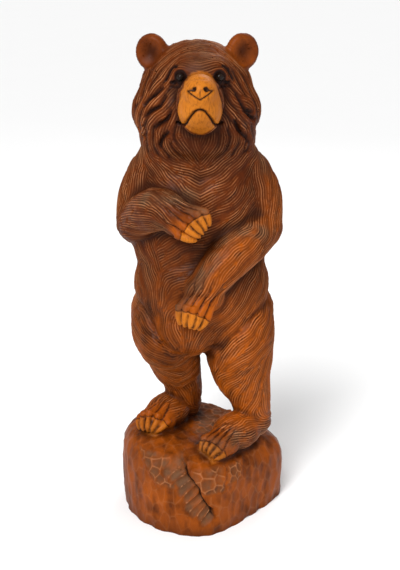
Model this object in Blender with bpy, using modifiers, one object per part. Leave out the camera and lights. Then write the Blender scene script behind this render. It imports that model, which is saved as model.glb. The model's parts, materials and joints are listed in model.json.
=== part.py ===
"""Carved bear standing on a rock base, cut from one log, with two glass eyes.

Metres, +Z up. The bear faces -Y, left and right are the bear's own, and the origin
is the middle of the log's flat underside.
"""
import math

import bmesh
import bpy
import numpy as np
from mathutils import Matrix, Vector
from mathutils.bvhtree import BVHTree
from mathutils.kdtree import KDTree

# The log, the flat sides split off it, and the rock that is left of it under the feet
LOG_RADIUS = 0.183
FLATS = ((-41, 0.125), (-93, 0.162), (-128, 0.170), (-160, 0.180), (60, 0.168), (128, 0.174))
FLAT_SHARPNESS = 10
ROCK_SHOULDER = 0.112
ROCK_TOP = 0.174
ROCK_RISE_BACK = 0.06
ROCK_FALL_LEFT = 0.17
SAW_ALLOWANCE = 0.012

# The eyes are round glass, set in bored sockets
EYE_RADIUS = 0.0088
EYE_SEAT_GAP = 0.0003
EYE_SHOWING = 0.0062
EYE_HEIGHT = 0.930
EYE_SPACING = 0.072
EYE_FACES = (14, 10)
FACE_X = -0.007

# Carving: voxels and rounds of smoothing, and the locks of fur
BODY_VOXEL = 0.006
BODY_ROUNDS = 14
VOXEL = 0.0034
CRISP_ROUNDS = 5
CLAW_ROUNDS = 1
LOCK_PITCH = 0.033
LOCK_DEPTH = 0.0058
LOCK_ROUNDS = 260
LIE_ROUNDS = 12
LIE_REACH = 0.010
FACES_WANTED = 8900
DETAIL_SHARE = 0.5
DETAIL_HOLD = 0.00003
SEED = 7

# The crack in the rock, with scoops up to its left side and gouge facets about it
CRACK_START = (-0.050, 0.176)
CRACK_END = (0.026, 0.040)
CRACK_DEPTH = 0.0105
CRACK_SLOPE = 0.046
CRACK_LIP = 0.0042
CRACK_WIDTH = 0.0060
CRACK_EXTRA = 0.0045
SCOOP_COUNT = 9
SCOOP_PITCH = 0.0172
SCOOP_LEAN = 0.245
SCOOP_LENGTH = 0.044
SCOOP_DEPTH = 0.0052
# Each patch of facets: X range, Y range, Z range, how far X leans with Z, pitch, depth
FACET_PATCHES = (
    ((-0.024, 0.044), (-0.30, -0.04), (0.096, 0.146), 0.0, 0.030, 0.0052),
    ((-0.022, 0.066), (-0.30, -0.04), (0.106, 0.164), 0.7, 0.028, 0.0052),
    ((-0.020, 0.085), (-0.030, 0.125), (0.130, 0.210), 0.0, 0.030, 0.0040),
)
FACET_SOFT = 0.010
FACET_SPACING = 0.72
FACET_ROUND = 0.60
FACET_RISE = 0.55
CRACK_FADE = (0.014, 0.024)
SCOOP_ROUND = 0.64
SCOOP_UNEVEN = 0.12
FRONT_ONLY = -0.06

# How a cut's side slopes, and how it runs out at its ends
CUT_SLOPE = 1.3
CUT_RUN_OUT = 0.4

WOOD = (0.30, 0.078, 0.017, 1.0)
GLASS = (0.008, 0.006, 0.005, 1.0)

DOWN = (0.0, 0.0, -1.0)
CHEST_RIGHT = (0.60, 0.0, -0.80)
CHEST_LEFT = (-0.60, 0.0, -0.80)
BELLY_RISE = (0.76, 0.0, 0.65)

# Every rounded mass of the figure: name, middle, half sizes, turn about Z in degrees,
# the way its fur lies (or the point that it fans out from), and how deep its locks are.
BODY_MASSES = (
    ("skull", (-0.014, 0.008, 0.894), (0.109, 0.092, 0.095), 0, "face", 1.0),
    ("head_fur", (-0.014, -0.004, 0.856), (0.126, 0.090, 0.082), 0, "face", 1.3),
    ("ruff", (-0.012, -0.006, 0.808), (0.114, 0.088, 0.058), 0, "face", 1.2),
    ("brow", (FACE_X, -0.046, 0.935), (0.066, 0.050, 0.036), 0, "face", 0.5),
    ("neck", (-0.010, 0.010, 0.762), (0.120, 0.088, 0.060), 0, DOWN, 1.0),
    ("shoulders", (-0.008, 0.020, 0.705), (0.130, 0.086, 0.076), 0, DOWN, 1.0),
    ("right_chest", (-0.040, 0.006, 0.680), (0.090, 0.095, 0.110), 0, CHEST_RIGHT, 1.0),
    ("left_chest", (0.024, 0.006, 0.680), (0.090, 0.095, 0.110), 0, CHEST_LEFT, 1.0),
    ("hump", (-0.008, 0.060, 0.700), (0.090, 0.056, 0.100), 0, DOWN, 1.0),
    ("ribs", (-0.006, 0.008, 0.590), (0.136, 0.102, 0.120), 0, BELLY_RISE, 1.0),
    ("belly", (-0.004, -0.006, 0.505), (0.138, 0.108, 0.110), 0, BELLY_RISE, 1.0),
    ("back", (0.000, 0.055, 0.560), (0.106, 0.070, 0.150), 0, DOWN, 1.0),
    ("hips", (-0.002, 0.018, 0.440), (0.149, 0.106, 0.088), 0, (0.5, 0.0, 0.5), 1.0),
    ("lower_belly", (-0.040, -0.028, 0.420), (0.084, 0.078, 0.062), 0, BELLY_RISE, 1.0),
    ("rump", (0.008, 0.055, 0.430), (0.110, 0.078, 0.086), 0, DOWN, 1.0),
    ("right_thigh", (-0.080, 0.004, 0.410), (0.070, 0.090, 0.088), 0, (1.0, 0.0, -0.12), 1.0),
    ("right_knee", (-0.080, -0.040, 0.388), (0.054, 0.060, 0.056), 0, (1.0, 0.0, -0.25), 0.9),
    ("left_thigh", (0.076, -0.002, 0.395), (0.072, 0.090, 0.108), 0, (0.66, 0.0, 0.75), 1.0),
)

# The masses that are carved crisper and keep less of a soft joint
CRISP_MASSES = (
    ("snout", (FACE_X, -0.082, 0.893), (0.042, 0.066, 0.046), 0, (0.0, 1.0, 0.0), 0.0),
    ("nose", (FACE_X, -0.122, 0.908), (0.033, 0.046, 0.034), 0, DOWN, 0.0),
    ("muzzle", (FACE_X, -0.102, 0.882), (0.043, 0.059, 0.055), 0, DOWN, 0.0),
    ("tail", (0.004, 0.118, 0.430), (0.026, 0.030, 0.046), 0, DOWN, 0.8),
    ("right_heel", (-0.040, 0.062, 0.208), (0.036, 0.042, 0.036), 0, (-0.6, -0.8, 0.0), 0.6),
    ("right_instep", (-0.076, 0.015, 0.208), (0.040, 0.060, 0.036), -38, (-0.6, -0.8, 0.0), 0.5),
    ("right_toes", (-0.094, -0.012, 0.200), (0.030, 0.040, 0.025), 56, (-0.6, -0.8, 0.0), 0.0),
    ("left_heel", (0.108, 0.010, 0.194), (0.038, 0.044, 0.040), 0, (-0.76, -0.65, 0.0), 0.6),
    ("left_instep", (0.070, -0.034, 0.184), (0.042, 0.060, 0.040), -50, (-0.76, -0.65, 0.0), 0.5),
    ("left_toes", (0.040, -0.072, 0.174), (0.033, 0.036, 0.026), 50, (-0.76, -0.65, 0.0), 0.0),
    ("right_palm", (-0.047, -0.116, 0.668), (0.034, 0.027, 0.034), 0, (1.0, 0.0, -0.3), 0.0),
    ("left_palm", (0.001, -0.112, 0.518), (0.039, 0.028, 0.042), 0, (-0.3, 0.0, -1.0), 0.0),
)

# Every tapered limb: name, stations along its middle with a radius each, depth of its locks.
# The forearms lie free across the trunk, so they are carved crisp.
LIMBS = (
    ("right_upper_arm", ((-0.100, 0.014, 0.724, 0.052), (-0.124, 0.006, 0.682, 0.047),
                         (-0.132, -0.006, 0.632, 0.044)), 1.0),
    ("left_upper_arm", ((0.086, 0.014, 0.722, 0.052), (0.110, 0.006, 0.684, 0.047),
                        (0.115, -0.002, 0.626, 0.043)), 1.0),
    ("right_shin", ((-0.068, -0.006, 0.366, 0.058), (-0.057, 0.014, 0.318, 0.053),
                    (-0.045, 0.034, 0.275, 0.042), (-0.042, 0.046, 0.235, 0.040)), 0.8),
    ("left_shin", ((0.076, -0.004, 0.345, 0.070), (0.083, -0.002, 0.300, 0.062),
                   (0.098, 0.000, 0.255, 0.046), (0.104, 0.004, 0.220, 0.040)), 0.8),
)
CRISP_LIMBS = (
    ("right_forearm", ((-0.130, -0.014, 0.634, 0.042), (-0.090, -0.078, 0.677, 0.042),
                       (-0.064, -0.106, 0.678, 0.036), (-0.052, -0.116, 0.674, 0.031)), 0.7),
    ("left_forearm", ((0.115, -0.010, 0.622, 0.043), (0.084, -0.056, 0.603, 0.044),
                      (0.046, -0.092, 0.578, 0.042), (0.016, -0.108, 0.546, 0.037),
                      (0.004, -0.112, 0.530, 0.033)), 0.7),
)

# Every paw: name, first and last claw root, first and last tip, how far the middle root and the
# middle tip are bowed out of line, where the fingers come from, finger radius and claw radius
CLAW_COUNT = 5
PAWS = (
    ("right_hand", (-0.041, -0.146, 0.641), (0.005, -0.142, 0.683),
     (-0.011, -0.150, 0.635), (0.011, -0.146, 0.661), (-0.003, -0.012, 0.011), (0.001, -0.012, 0.001),
     (-0.110, -0.090, 0.710), 0.0105, 0.0076),
    ("left_hand", (-0.047, -0.132, 0.489), (0.005, -0.137, 0.471),
     (-0.045, -0.132, 0.458), (-0.013, -0.140, 0.451), (0.000, -0.0155, 0.009), (0.001, -0.012, 0.0015),
     (0.045, -0.095, 0.600), 0.0100, 0.0080),
    ("right_foot", (-0.136, -0.025, 0.2055), (-0.079, -0.045, 0.2035),
     (-0.134, -0.036, 0.184), (-0.106, -0.052, 0.184), (-0.0065, -0.005, 0.0145), (0.003, -0.003, -0.0015),
     (-0.056, 0.030, 0.250), 0.0095, 0.0072),
    ("left_foot", (-0.003, -0.090, 0.186), (0.043, -0.105, 0.1635),
     (-0.005, -0.097, 0.1675), (0.017, -0.118, 0.158), (0.000, -0.0005, 0.0097), (-0.001, 0.000, 0.000),
     (0.092, -0.026, 0.230), 0.0088, 0.0068),
)
FINGER_SHARE = 0.50
FINGER_SINK = 0.006
KNUCKLE_SHARE = 0.18
FINGER_END = 0.82
PAD_SHARE = 0.45
PAD_SINK = 1.50
PAD_SIZE = 0.40
CLAW_SEAT = 0.15
CLAW_BOW = 0.16
CLAW_TAPER = 0.62
CLAW_SINK = 0.30
CLAW_STEPS = 6
FINGER_GROOVE = (0.0066, 0.0044)
DETAIL_REACH = 0.055

# The face, from its left half: points out from the middle and up. Each cut is width and depth.
EYE_BOWL = (0.0135, 0.0058)
EYE_LID = ((0.004, 0.0210), (0.0165, 0.0145), (0.0220, 0.0040), (0.029, -0.0110))
EYE_LID_CUT = (0.0060, 0.0042)
NOSTRIL = (0.0125, 0.9205)
NOSTRIL_BOWL = (0.0070, 0.0075)
NOSE_EDGE = ((0.0000, 0.9010), (0.0120, 0.9083), (0.0235, 0.9158))
NOSE_CUT = (0.0050, 0.0028)
LIP = ((0.000, 0.8830), (0.005, 0.8822), (0.011, 0.8790), (0.018, 0.8705), (0.0245, 0.8600), (0.028, 0.8510),
       (0.031, 0.8468), (0.036, 0.8452), (0.042, 0.8462))
LIP_CUT = (0.0062, 0.0072)
JAW_SIDE = 6
JAW_TIP = ((0.016, 0.8370), (0.000, 0.8280))
JAW_SET_BACK = 0.0026
FACE_DETAIL = (FACE_X, -0.120, 0.890)

# The creases between the belly, the thighs and the chin ruff: width, depth, then points
FOLDS = (
    (0.012, 0.008, (-0.134, -0.010, 0.488), (-0.100, -0.090, 0.430), (-0.066, -0.090, 0.385),
     (-0.030, -0.080, 0.365)),
    (0.014, 0.006, (0.130, -0.010, 0.470), (0.080, -0.090, 0.440), (0.030, -0.090, 0.390),
     (0.000, -0.080, 0.350)),
    (0.020, 0.003, (-0.110, -0.050, 0.800), (-0.060, -0.080, 0.775), (-0.012, -0.092, 0.762),
     (0.040, -0.080, 0.772), (0.090, -0.050, 0.800)),
)

# The ears are cups that open forward and a little outward
EARS = (
    ("right_ear", (-0.099, 0.008, 0.965), -22),
    ("left_ear", (0.074, 0.008, 0.966), 22),
)
EAR_SIZE = (0.034, 0.019, 0.036)
EAR_CUP = 0.027
EAR_CUP_DEPTH = 0.017


def clear_scene():
    """Remove every object that the file opened with."""
    for thing in list(bpy.data.objects):
        bpy.data.objects.remove(thing, do_unlink=True)


def material(name, colour, roughness):
    """A Principled material of one colour."""
    made = bpy.data.materials.new(name)
    made.use_nodes = True
    shader = made.node_tree.nodes["Principled BSDF"]
    shader.inputs["Base Color"].default_value = colour
    shader.inputs["Roughness"].default_value = roughness
    return made


def ball(middle, size, turn=0.0, segments=28, rings=18):
    """An ellipsoid, turned about Z."""
    bpy.ops.mesh.primitive_uv_sphere_add(segments=segments, ring_count=rings, radius=1.0)
    made = bpy.context.object
    place = Matrix.Translation(middle) @ Matrix.Rotation(math.radians(turn), 4, "Z")
    made.data.transform(place @ Matrix.Diagonal((*size, 1.0)))
    return made


def limb(stations):
    """A tapered round limb along smooth stations, as a curve turned into a mesh."""
    curve = bpy.data.curves.new("limb", "CURVE")
    curve.dimensions = "3D"
    curve.bevel_depth = 1.0
    curve.bevel_resolution = 5
    curve.use_fill_caps = True
    spline = curve.splines.new("BEZIER")
    spline.bezier_points.add(len(stations) - 1)
    for point, (x, y, z, radius) in zip(spline.bezier_points, stations):
        point.co = (x, y, z)
        point.radius = radius
        point.handle_left_type = "AUTO"
        point.handle_right_type = "AUTO"
    source = bpy.data.objects.new("limb", curve)
    bpy.context.scene.collection.objects.link(source)
    seen = source.evaluated_get(bpy.context.evaluated_depsgraph_get())
    made = bpy.data.objects.new("limb", bpy.data.meshes.new_from_object(seen))
    bpy.context.scene.collection.objects.link(made)
    bpy.data.objects.remove(source, do_unlink=True)
    return made


def mix(a, b, t):
    """The point a share t of the way from a to b."""
    return tuple(p + (q - p) * t for p, q in zip(a, b))


def claw_line(paw, index):
    """Root and tip of one claw: both rows are bowed."""
    _, root_a, root_b, tip_a, tip_b, root_bow, tip_bow = paw[:7]
    t = index / (CLAW_COUNT - 1)
    bowed = math.sin(math.pi * t)
    root = Vector(mix(root_a, root_b, t)) + Vector(root_bow) * bowed
    tip = Vector(mix(tip_a, tip_b, t)) + Vector(tip_bow) * bowed
    return root, tip


def finger(paw, index):
    """The ridge of a finger or toe, from well up the paw to the root of its claw."""
    root, tip = claw_line(paw, index)
    radius = paw[8]
    sink = Vector((0.0, FINGER_SINK, 0.0))
    end = root - (tip - root).normalized() * (radius / 2.0) + sink / 2.0
    start = root.lerp(Vector(paw[7]), FINGER_SHARE) + sink
    knuckle = root.lerp(Vector(paw[7]), KNUCKLE_SHARE) + sink / 2.0
    stations = ((*start, radius), (*knuckle, radius), (*end, radius * FINGER_END))
    return [limb(stations), ball(tuple(end), (radius * FINGER_END,) * 3, 0, 16, 10)]


def pad(paw):
    """The flesh behind a row of claws, which they lie against."""
    stations = []
    for index in range(CLAW_COUNT):
        root, tip = claw_line(paw, index)
        middle = root.lerp(tip, PAD_SHARE) + Vector((0.0, paw[9] * PAD_SINK, 0.0))
        stations.append((*middle, (tip - root).length * PAD_SIZE))
    return jointed(stations)


def claw(tree, root, tip, radius):
    """A curved claw, seated on the skin at its root, that tapers to a blunt tip."""
    spot, outward, _, _ = tree.find_nearest(root)
    along = tip - root
    root = spot + outward * radius * CLAW_SEAT
    stations = []
    for step in range(CLAW_STEPS):
        t = step / (CLAW_STEPS - 1)
        middle = root + along * t + outward * (along.length * CLAW_BOW * math.sin(math.pi * t))
        stations.append((*middle, radius * (1.0 - CLAW_TAPER * t ** 1.5)))
    back = root - along * CLAW_SINK - outward * radius * 0.5
    end = stations[-1]
    return [limb([(*back, radius * 0.8)] + stations), ball(end[:3], (end[3],) * 3, 0, 12, 8)]


def jointed(stations):
    """A limb with a ball at each end."""
    ends = [ball((x, y, z), (radius,) * 3) for x, y, z, radius in (stations[0], stations[-1])]
    return [limb(stations)] + ends


def log_reach(angle):
    """Radius of the log at an angle, eased into the flat sides that were split off it."""
    total = (1.0 / LOG_RADIUS) ** FLAT_SHARPNESS
    for facing, distance in FLATS:
        toward = math.cos(angle - math.radians(facing))
        if toward > 0.0:
            total += (toward / distance) ** FLAT_SHARPNESS
    return total ** (-1.0 / FLAT_SHARPNESS)


def rock():
    """The rock: a turned log end with flat sides and a domed top that slopes to the front."""
    profile = [(0.0, ROCK_TOP + 0.004)]
    for step in range(13):
        angle = math.radians(90.0 - 90.0 * step / 12.0)
        reach = 0.30 + 0.69 * math.cos(angle) ** 0.62
        profile.append((reach, ROCK_SHOULDER + (ROCK_TOP - ROCK_SHOULDER) * math.sin(angle)))
    profile += [(1.0, 0.075), (0.99, 0.02), (0.98, -SAW_ALLOWANCE), (0.0, -SAW_ALLOWANCE)]
    shape = bpy.data.meshes.new("rock")
    lines = [(i, i + 1) for i in range(len(profile) - 1)]
    shape.from_pydata([(x, 0.0, z) for x, z in profile], lines, [])
    made = bpy.data.objects.new("rock", shape)
    bpy.context.scene.collection.objects.link(made)
    turned = made.modifiers.new("turned", "SCREW")
    turned.steps = turned.render_steps = 96
    turned.use_merge_vertices = True
    turned.merge_threshold = 0.0001
    made = frozen(made)
    for vertex in made.data.vertices:
        x, y, z = vertex.co
        reach = log_reach(math.atan2(y, x))
        above = max(0.0, z - 0.06) / (ROCK_TOP - 0.06)
        x, y = x * reach, y * reach
        vertex.co = (x, y, z + above * (ROCK_RISE_BACK * y - ROCK_FALL_LEFT * x))
    return made


def frozen(thing):
    """The same object with its modifiers worked into its mesh."""
    seen = thing.evaluated_get(bpy.context.evaluated_depsgraph_get())
    shape = bpy.data.meshes.new_from_object(seen)
    thing.modifiers.clear()
    thing.data = shape
    return thing


class Skin:
    """Points, normals and edges of a mesh as arrays, with the ways to carve it."""

    def __init__(self, thing):
        self.mesh = thing.data
        self.point = np.empty((len(self.mesh.vertices), 3))
        self.mesh.vertices.foreach_get("co", self.point.ravel())
        self.edge = np.empty((len(self.mesh.edges), 2), dtype=np.int64)
        self.mesh.edges.foreach_get("vertices", self.edge.ravel())
        self.read_normals()

    def read_normals(self):
        self.normal = np.empty_like(self.point)
        self.mesh.vertices.foreach_get("normal", self.normal.ravel())

    def push(self, height):
        """Move every point along its normal and read the new normals."""
        self.point += self.normal * height[:, None]
        self.mesh.vertices.foreach_set("co", self.point.ravel())
        self.mesh.update()
        self.read_normals()

    def tree(self):
        shape = bmesh.new()
        shape.from_mesh(self.mesh)
        found = BVHTree.FromBMesh(shape)
        shape.free()
        return found


def skinned(pieces, voxel, rounds):
    """Overlapping pieces as one closed skin with its joints softened."""
    with bpy.context.temp_override(active_object=pieces[0], selected_editable_objects=pieces):
        bpy.ops.object.join()
    form = pieces[0]
    skin = form.modifiers.new("skin", "REMESH")
    skin.mode = "VOXEL"
    skin.voxel_size = voxel
    soft = form.modifiers.new("soft", "SMOOTH")
    soft.factor = 0.5
    soft.iterations = rounds
    return frozen(form)


def rough_form():
    """The body in one soft skin, the crisper masses, ears and rock on it, then the claws."""
    pieces = [ball(middle, size, turn) for _, middle, size, turn, _, _ in BODY_MASSES]
    for _, stations, _ in LIMBS:
        pieces += jointed(stations)
    pieces = [skinned(pieces, BODY_VOXEL, BODY_ROUNDS), rock()]
    for _, stations, _ in CRISP_LIMBS:
        pieces += jointed(stations)
    for paw in PAWS:
        pieces += pad(paw)
        for index in range(CLAW_COUNT):
            pieces += finger(paw, index)
    pieces += [ball(middle, size, turn) for _, middle, size, turn, _, _ in CRISP_MASSES]
    pieces += [ball(middle, EAR_SIZE, turn) for _, middle, turn in EARS]
    form = skinned(pieces, VOXEL, CRISP_ROUNDS)
    tree = Skin(form).tree()
    pieces = [form]
    for paw in PAWS:
        for index in range(CLAW_COUNT):
            pieces += claw(tree, *claw_line(paw, index), paw[9])
    return skinned(pieces, VOXEL, CLAW_ROUNDS)


def distance_to_path(points, path):
    """Distance of every point to a run of straight stretches, and how far along it is."""
    path = np.array(path)
    best = np.full(len(points), 1e9)
    along = np.zeros(len(points))
    last = len(path) - 1
    for i in range(last):
        start = path[i]
        stretch = path[i + 1] - start
        t = np.clip((points - start) @ stretch / (stretch @ stretch), 0.0, 1.0)
        gap = np.linalg.norm(points - start - t[:, None] * stretch, axis=1)
        nearer = gap < best
        best[nearer] = gap[nearer]
        along[nearer] = ((i + t) / last)[nearer]
    return best, along


def on_surface(tree, path, steps=6):
    """A path laid on the surface: each point goes to the nearest spot of the skin."""
    laid = []
    for a, b in zip(path, path[1:]):
        for k in range(steps):
            laid.append(tuple(tree.find_nearest(Vector(mix(a, b, k / steps)))[0]))
    laid.append(tuple(tree.find_nearest(Vector(path[-1]))[0]))
    return laid


def from_front(tree, path):
    """A path given by X and Z, laid on the first surface that is met from the front."""
    laid = []
    for x, z in path:
        laid.append(tuple(tree.ray_cast(Vector((x, -0.5, z)), Vector((0.0, 1.0, 0.0)))[0]))
    return laid


def groove(skin, path, width, depth, taper=True):
    """Depth of a V-shaped cut along a path."""
    gap, along = distance_to_path(skin.point, path)
    shape = np.clip(1.0 - gap / width, 0.0, 1.0) ** CUT_SLOPE
    if taper:
        shape = shape * np.clip(np.sin(np.pi * np.clip(along, 0.0, 1.0)), 0.0, 1.0) ** CUT_RUN_OUT
    return -depth * shape


def bowl(skin, middle, radius, depth):
    """Depth of a round hollow about a point of the surface."""
    gap = np.linalg.norm(skin.point - np.array(middle), axis=1)
    return -depth * np.clip(1.0 - (gap / radius) ** 2, 0.0, 1.0)


def part_gaps(points):
    """Distance of every point outside each mass and limb, with that part's fur line."""
    for _, middle, size, turn, lie, depth in BODY_MASSES + CRISP_MASSES:
        angle = math.radians(-turn)
        c, s = math.cos(angle), math.sin(angle)
        local = points - np.array(middle)
        x = local[:, 0] * c - local[:, 1] * s
        y = local[:, 0] * s + local[:, 1] * c
        q = np.sqrt((x / size[0]) ** 2 + (y / size[1]) ** 2 + (local[:, 2] / size[2]) ** 2)
        if lie == "face":
            line = points - np.array((FACE_X, -0.060, 0.925))
            line = line + np.array((0.0, 0.0, -0.35)) * np.linalg.norm(line, axis=1)[:, None]
        else:
            line = np.tile(np.array(lie, dtype=float), (len(points), 1))
        yield (q - 1.0) * min(size), line, depth
    for _, stations, depth in LIMBS + CRISP_LIMBS:
        path = np.array([s[:3] for s in stations])
        radii = np.array([s[3] for s in stations])
        gap, along = distance_to_path(points, path)
        place = along * (len(stations) - 1)
        radius = np.interp(place, np.arange(len(stations)), radii)
        heading = np.diff(path, axis=0)
        line = heading[np.clip(place.astype(int), 0, len(heading) - 1)]
        yield gap - radius, line, depth


def fur_lines(skin):
    """Unit direction of the fur at every point and the depth of its locks there."""
    count = len(skin.point)
    tensor = np.zeros((count, 3, 3))
    total = np.full(count, 1e-9)
    depth = np.zeros(count)
    for gap, line, deep in part_gaps(skin.point):
        weight = np.exp(-np.clip(gap, -LIE_REACH, 20.0 * LIE_REACH) / LIE_REACH)
        line = line - skin.normal * np.sum(line * skin.normal, axis=1)[:, None]
        line /= np.linalg.norm(line, axis=1)[:, None] + 1e-9
        tensor += weight[:, None, None] * line[:, :, None] * line[:, None, :]
        total += weight
        depth += weight * deep
    depth /= total
    tensor /= total[:, None, None]
    flat = tensor.reshape(count, 9)
    for _ in range(LIE_ROUNDS):
        flat = 0.4 * flat + 0.6 * neighbour_mean(skin.edge, flat)
        depth = 0.4 * depth + 0.6 * neighbour_mean(skin.edge, depth[:, None])[:, 0]
    tensor = flat.reshape(count, 3, 3)
    upright = np.eye(3) - skin.normal[:, :, None] * skin.normal[:, None, :]
    tensor = upright @ tensor @ upright
    _, axes = np.linalg.eigh(tensor)
    return axes[:, :, 2], depth


def neighbour_mean(edge, value):
    """Mean of the neighbours' values at every point."""
    count = len(value)
    share = np.bincount(edge.ravel(), minlength=count).astype(float)
    result = np.empty_like(value)
    for column in range(value.shape[1]):
        part = np.bincount(edge[:, 0], value[edge[:, 1], column], count)
        part += np.bincount(edge[:, 1], value[edge[:, 0], column], count)
        result[:, column] = part / share
    return result


def lock_phase(skin, line, pitch):
    """Angle that grows by a full turn for each lock across the fur, evened out by rounds.

    Each point asks its neighbours which angle it should have, given the distance across
    the fur between them, and takes the mean of their answers."""
    count = len(skin.point)
    across = np.cross(skin.normal, line)
    a, b = skin.edge[:, 0], skin.edge[:, 1]
    same = np.sign(np.sum(across[a] * across[b], axis=1))
    same[same == 0.0] = 1.0
    step = skin.point[b] - skin.point[a]
    shift = math.tau / pitch * 0.5 * np.sum(step * (across[a] + same[:, None] * across[b]), axis=1)
    start = np.random.default_rng(SEED).uniform(0.0, math.tau, count)
    wave = np.exp(1j * start)
    to_a = np.exp(-1j * shift)
    to_b = np.exp(1j * shift * same)
    flipped = same < 0.0
    for _ in range(LOCK_ROUNDS):
        from_b = np.where(flipped, np.conj(wave[b]), wave[b]) * to_a
        from_a = np.where(flipped, np.conj(wave[a]), wave[a]) * to_b
        real = np.bincount(a, from_b.real, count) + np.bincount(b, from_a.real, count)
        imag = np.bincount(a, from_b.imag, count) + np.bincount(b, from_a.imag, count)
        wave = real + 1j * imag
        wave /= np.abs(wave) + 1e-9
    return np.angle(wave)


def facets(skin, where, pitch, depth, seed):
    """Scalloped gouge marks: a hollow about each seed, with ridges where they meet."""
    draw = np.random.default_rng(SEED + seed)
    chosen = np.nonzero(where > 0.05)[0]
    seeds = []
    for index in draw.permutation(chosen):
        spot = skin.point[index]
        if all(np.linalg.norm(spot - other) > pitch * FACET_SPACING for other in seeds):
            seeds.append(spot)
    finder = KDTree(len(seeds))
    for index, spot in enumerate(seeds):
        finder.insert(Vector(spot), index)
    finder.balance()
    height = np.zeros(len(skin.point))
    for index in chosen:
        gap = finder.find(Vector(skin.point[index]))[2]
        height[index] = depth * (min(1.0, (gap / (pitch * FACET_ROUND)) ** 2) - FACET_RISE) * where[index]
    return height


def band(value, low, high, soft):
    """One between low and high, falling to zero over a soft edge."""
    rise = np.clip((value - low) / soft + 0.5, 0.0, 1.0)
    fall = np.clip((high - value) / soft + 0.5, 0.0, 1.0)
    return rise * fall


def scoops(along, aside):
    """Depth share of the row of scoops that run up to the left side of the crack."""
    draw = np.random.default_rng(SEED)
    best = np.zeros(len(along))
    for index in range(SCOOP_COUNT):
        reach = SCOOP_LENGTH * draw.uniform(0.70, 1.15) * (1.0 - 0.03 * index)
        from_line = along - SCOOP_LEAN * aside - (index + 0.5 + draw.uniform(-SCOOP_UNEVEN, SCOOP_UNEVEN)) * SCOOP_PITCH
        beyond = np.maximum(np.maximum(aside - reach, 0.0), -0.6 * aside)
        gap = np.hypot(from_line, beyond) / (SCOOP_PITCH * SCOOP_ROUND)
        best = np.maximum(best, np.clip(1.0 - gap ** 2, 0.0, 1.0) * draw.uniform(0.8, 1.1))
    return best


def carve_rock(skin):
    """The crack, the scoops up to it, and the facets about it and between the feet."""
    x, y, z = skin.point.T
    start, end = np.array(CRACK_START), np.array(CRACK_END)
    length = np.linalg.norm(end - start)
    run = (end - start) / length
    along = (x - start[0]) * run[0] + (z - start[1]) * run[1]
    aside = (x - start[0]) * run[1] - (z - start[1]) * run[0]
    on_rock = (y < FRONT_ONLY) & (z < ROCK_SHOULDER + 0.045)
    front = np.clip(-1.6 * skin.normal[:, 1] - 0.3, 0.0, 1.0) * on_rock
    ends = front * band(along, CRACK_FADE[0], length, CRACK_FADE[1])
    slope = np.clip(1.0 - aside / CRACK_SLOPE, 0.0, 1.0) * np.clip(aside / CRACK_LIP + 0.8, 0.0, 1.0)
    scoop = scoops(along, aside) * front * np.clip(aside / CRACK_LIP + 1.0, 0.0, 1.0)
    crack = np.clip(1.0 - np.abs(aside) / CRACK_WIDTH, 0.0, 1.0)
    height = -CRACK_DEPTH * slope * ends - SCOOP_DEPTH * scoop - CRACK_EXTRA * crack * ends
    low_rock = z < ROCK_SHOULDER + 0.05
    for index, (xs, ys, zs, lean, pitch, depth) in enumerate(FACET_PATCHES):
        where = band(x + lean * z, *xs, FACET_SOFT) * band(y, *ys, FACET_SOFT)
        where = where * band(z, *zs, FACET_SOFT) * (low_rock | (ys[1] > 0.0)) * (scoop == 0.0)
        height += facets(skin, where, pitch, depth, index + 1)
    skin.push(height)


def across_face(half):
    """A path from one side of the face to the other, from its left half."""
    return [(FACE_X - u, z) for u, z in half[:0:-1]] + [(FACE_X + u, z) for u, z in half]


def inside(points_xz, outline):
    """Whether points lie inside an outline, both given by X and Z."""
    x, z = points_xz.T
    found = np.zeros(len(x), dtype=bool)
    for (x1, z1), (x2, z2) in zip(outline, outline[1:] + outline[:1]):
        if z1 != z2:
            crosses = ((z1 > z) != (z2 > z)) & (x < (x2 - x1) * (z - z1) / (z2 - z1) + x1)
            found ^= crosses
    return found


def carve_face(skin):
    """Ear cups, eye hollows, lids, the nose, the mouth and the lower jaw."""
    height = np.zeros(len(skin.point))
    for _, middle, turn in EARS:
        angle = math.radians(turn)
        facing = np.array((math.sin(angle), -math.cos(angle), 0.0))
        offset = skin.point - np.array(middle)
        depth = offset @ facing
        side = np.linalg.norm(offset - depth[:, None] * facing, axis=1)
        cup = np.clip(1.0 - (side / EAR_CUP) ** 2, 0.0, 1.0) * (depth > -0.002)
        height -= EAR_CUP_DEPTH * cup
    tree = skin.tree()
    for side in (-1.0, 1.0):
        eye_x = FACE_X + side * EYE_SPACING / 2.0
        height += bowl(skin, from_front(tree, ((eye_x, EYE_HEIGHT),))[0], *EYE_BOWL)
        lid = [(eye_x + side * a, EYE_HEIGHT + b) for a, b in EYE_LID]
        height += groove(skin, from_front(tree, lid), *EYE_LID_CUT)
        nostril = from_front(tree, ((FACE_X + side * NOSTRIL[0], NOSTRIL[1]),))[0]
        height += bowl(skin, nostril, *NOSTRIL_BOWL)
    height += groove(skin, from_front(tree, across_face(NOSE_EDGE)), *NOSE_CUT, taper=False)
    height += groove(skin, from_front(tree, across_face(LIP)), *LIP_CUT, taper=False)
    jaw_half = LIP[:JAW_SIDE] + JAW_TIP
    outline = [(FACE_X + u, z) for u, z in jaw_half] + [(FACE_X - u, z) for u, z in jaw_half[-2:0:-1]]
    jaw = inside(skin.point[:, (0, 2)], outline) & (skin.point[:, 1] < FACE_DETAIL[1])
    height -= JAW_SET_BACK * neighbour_mean(skin.edge, jaw.astype(float)[:, None])[:, 0]
    skin.push(height)


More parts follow.
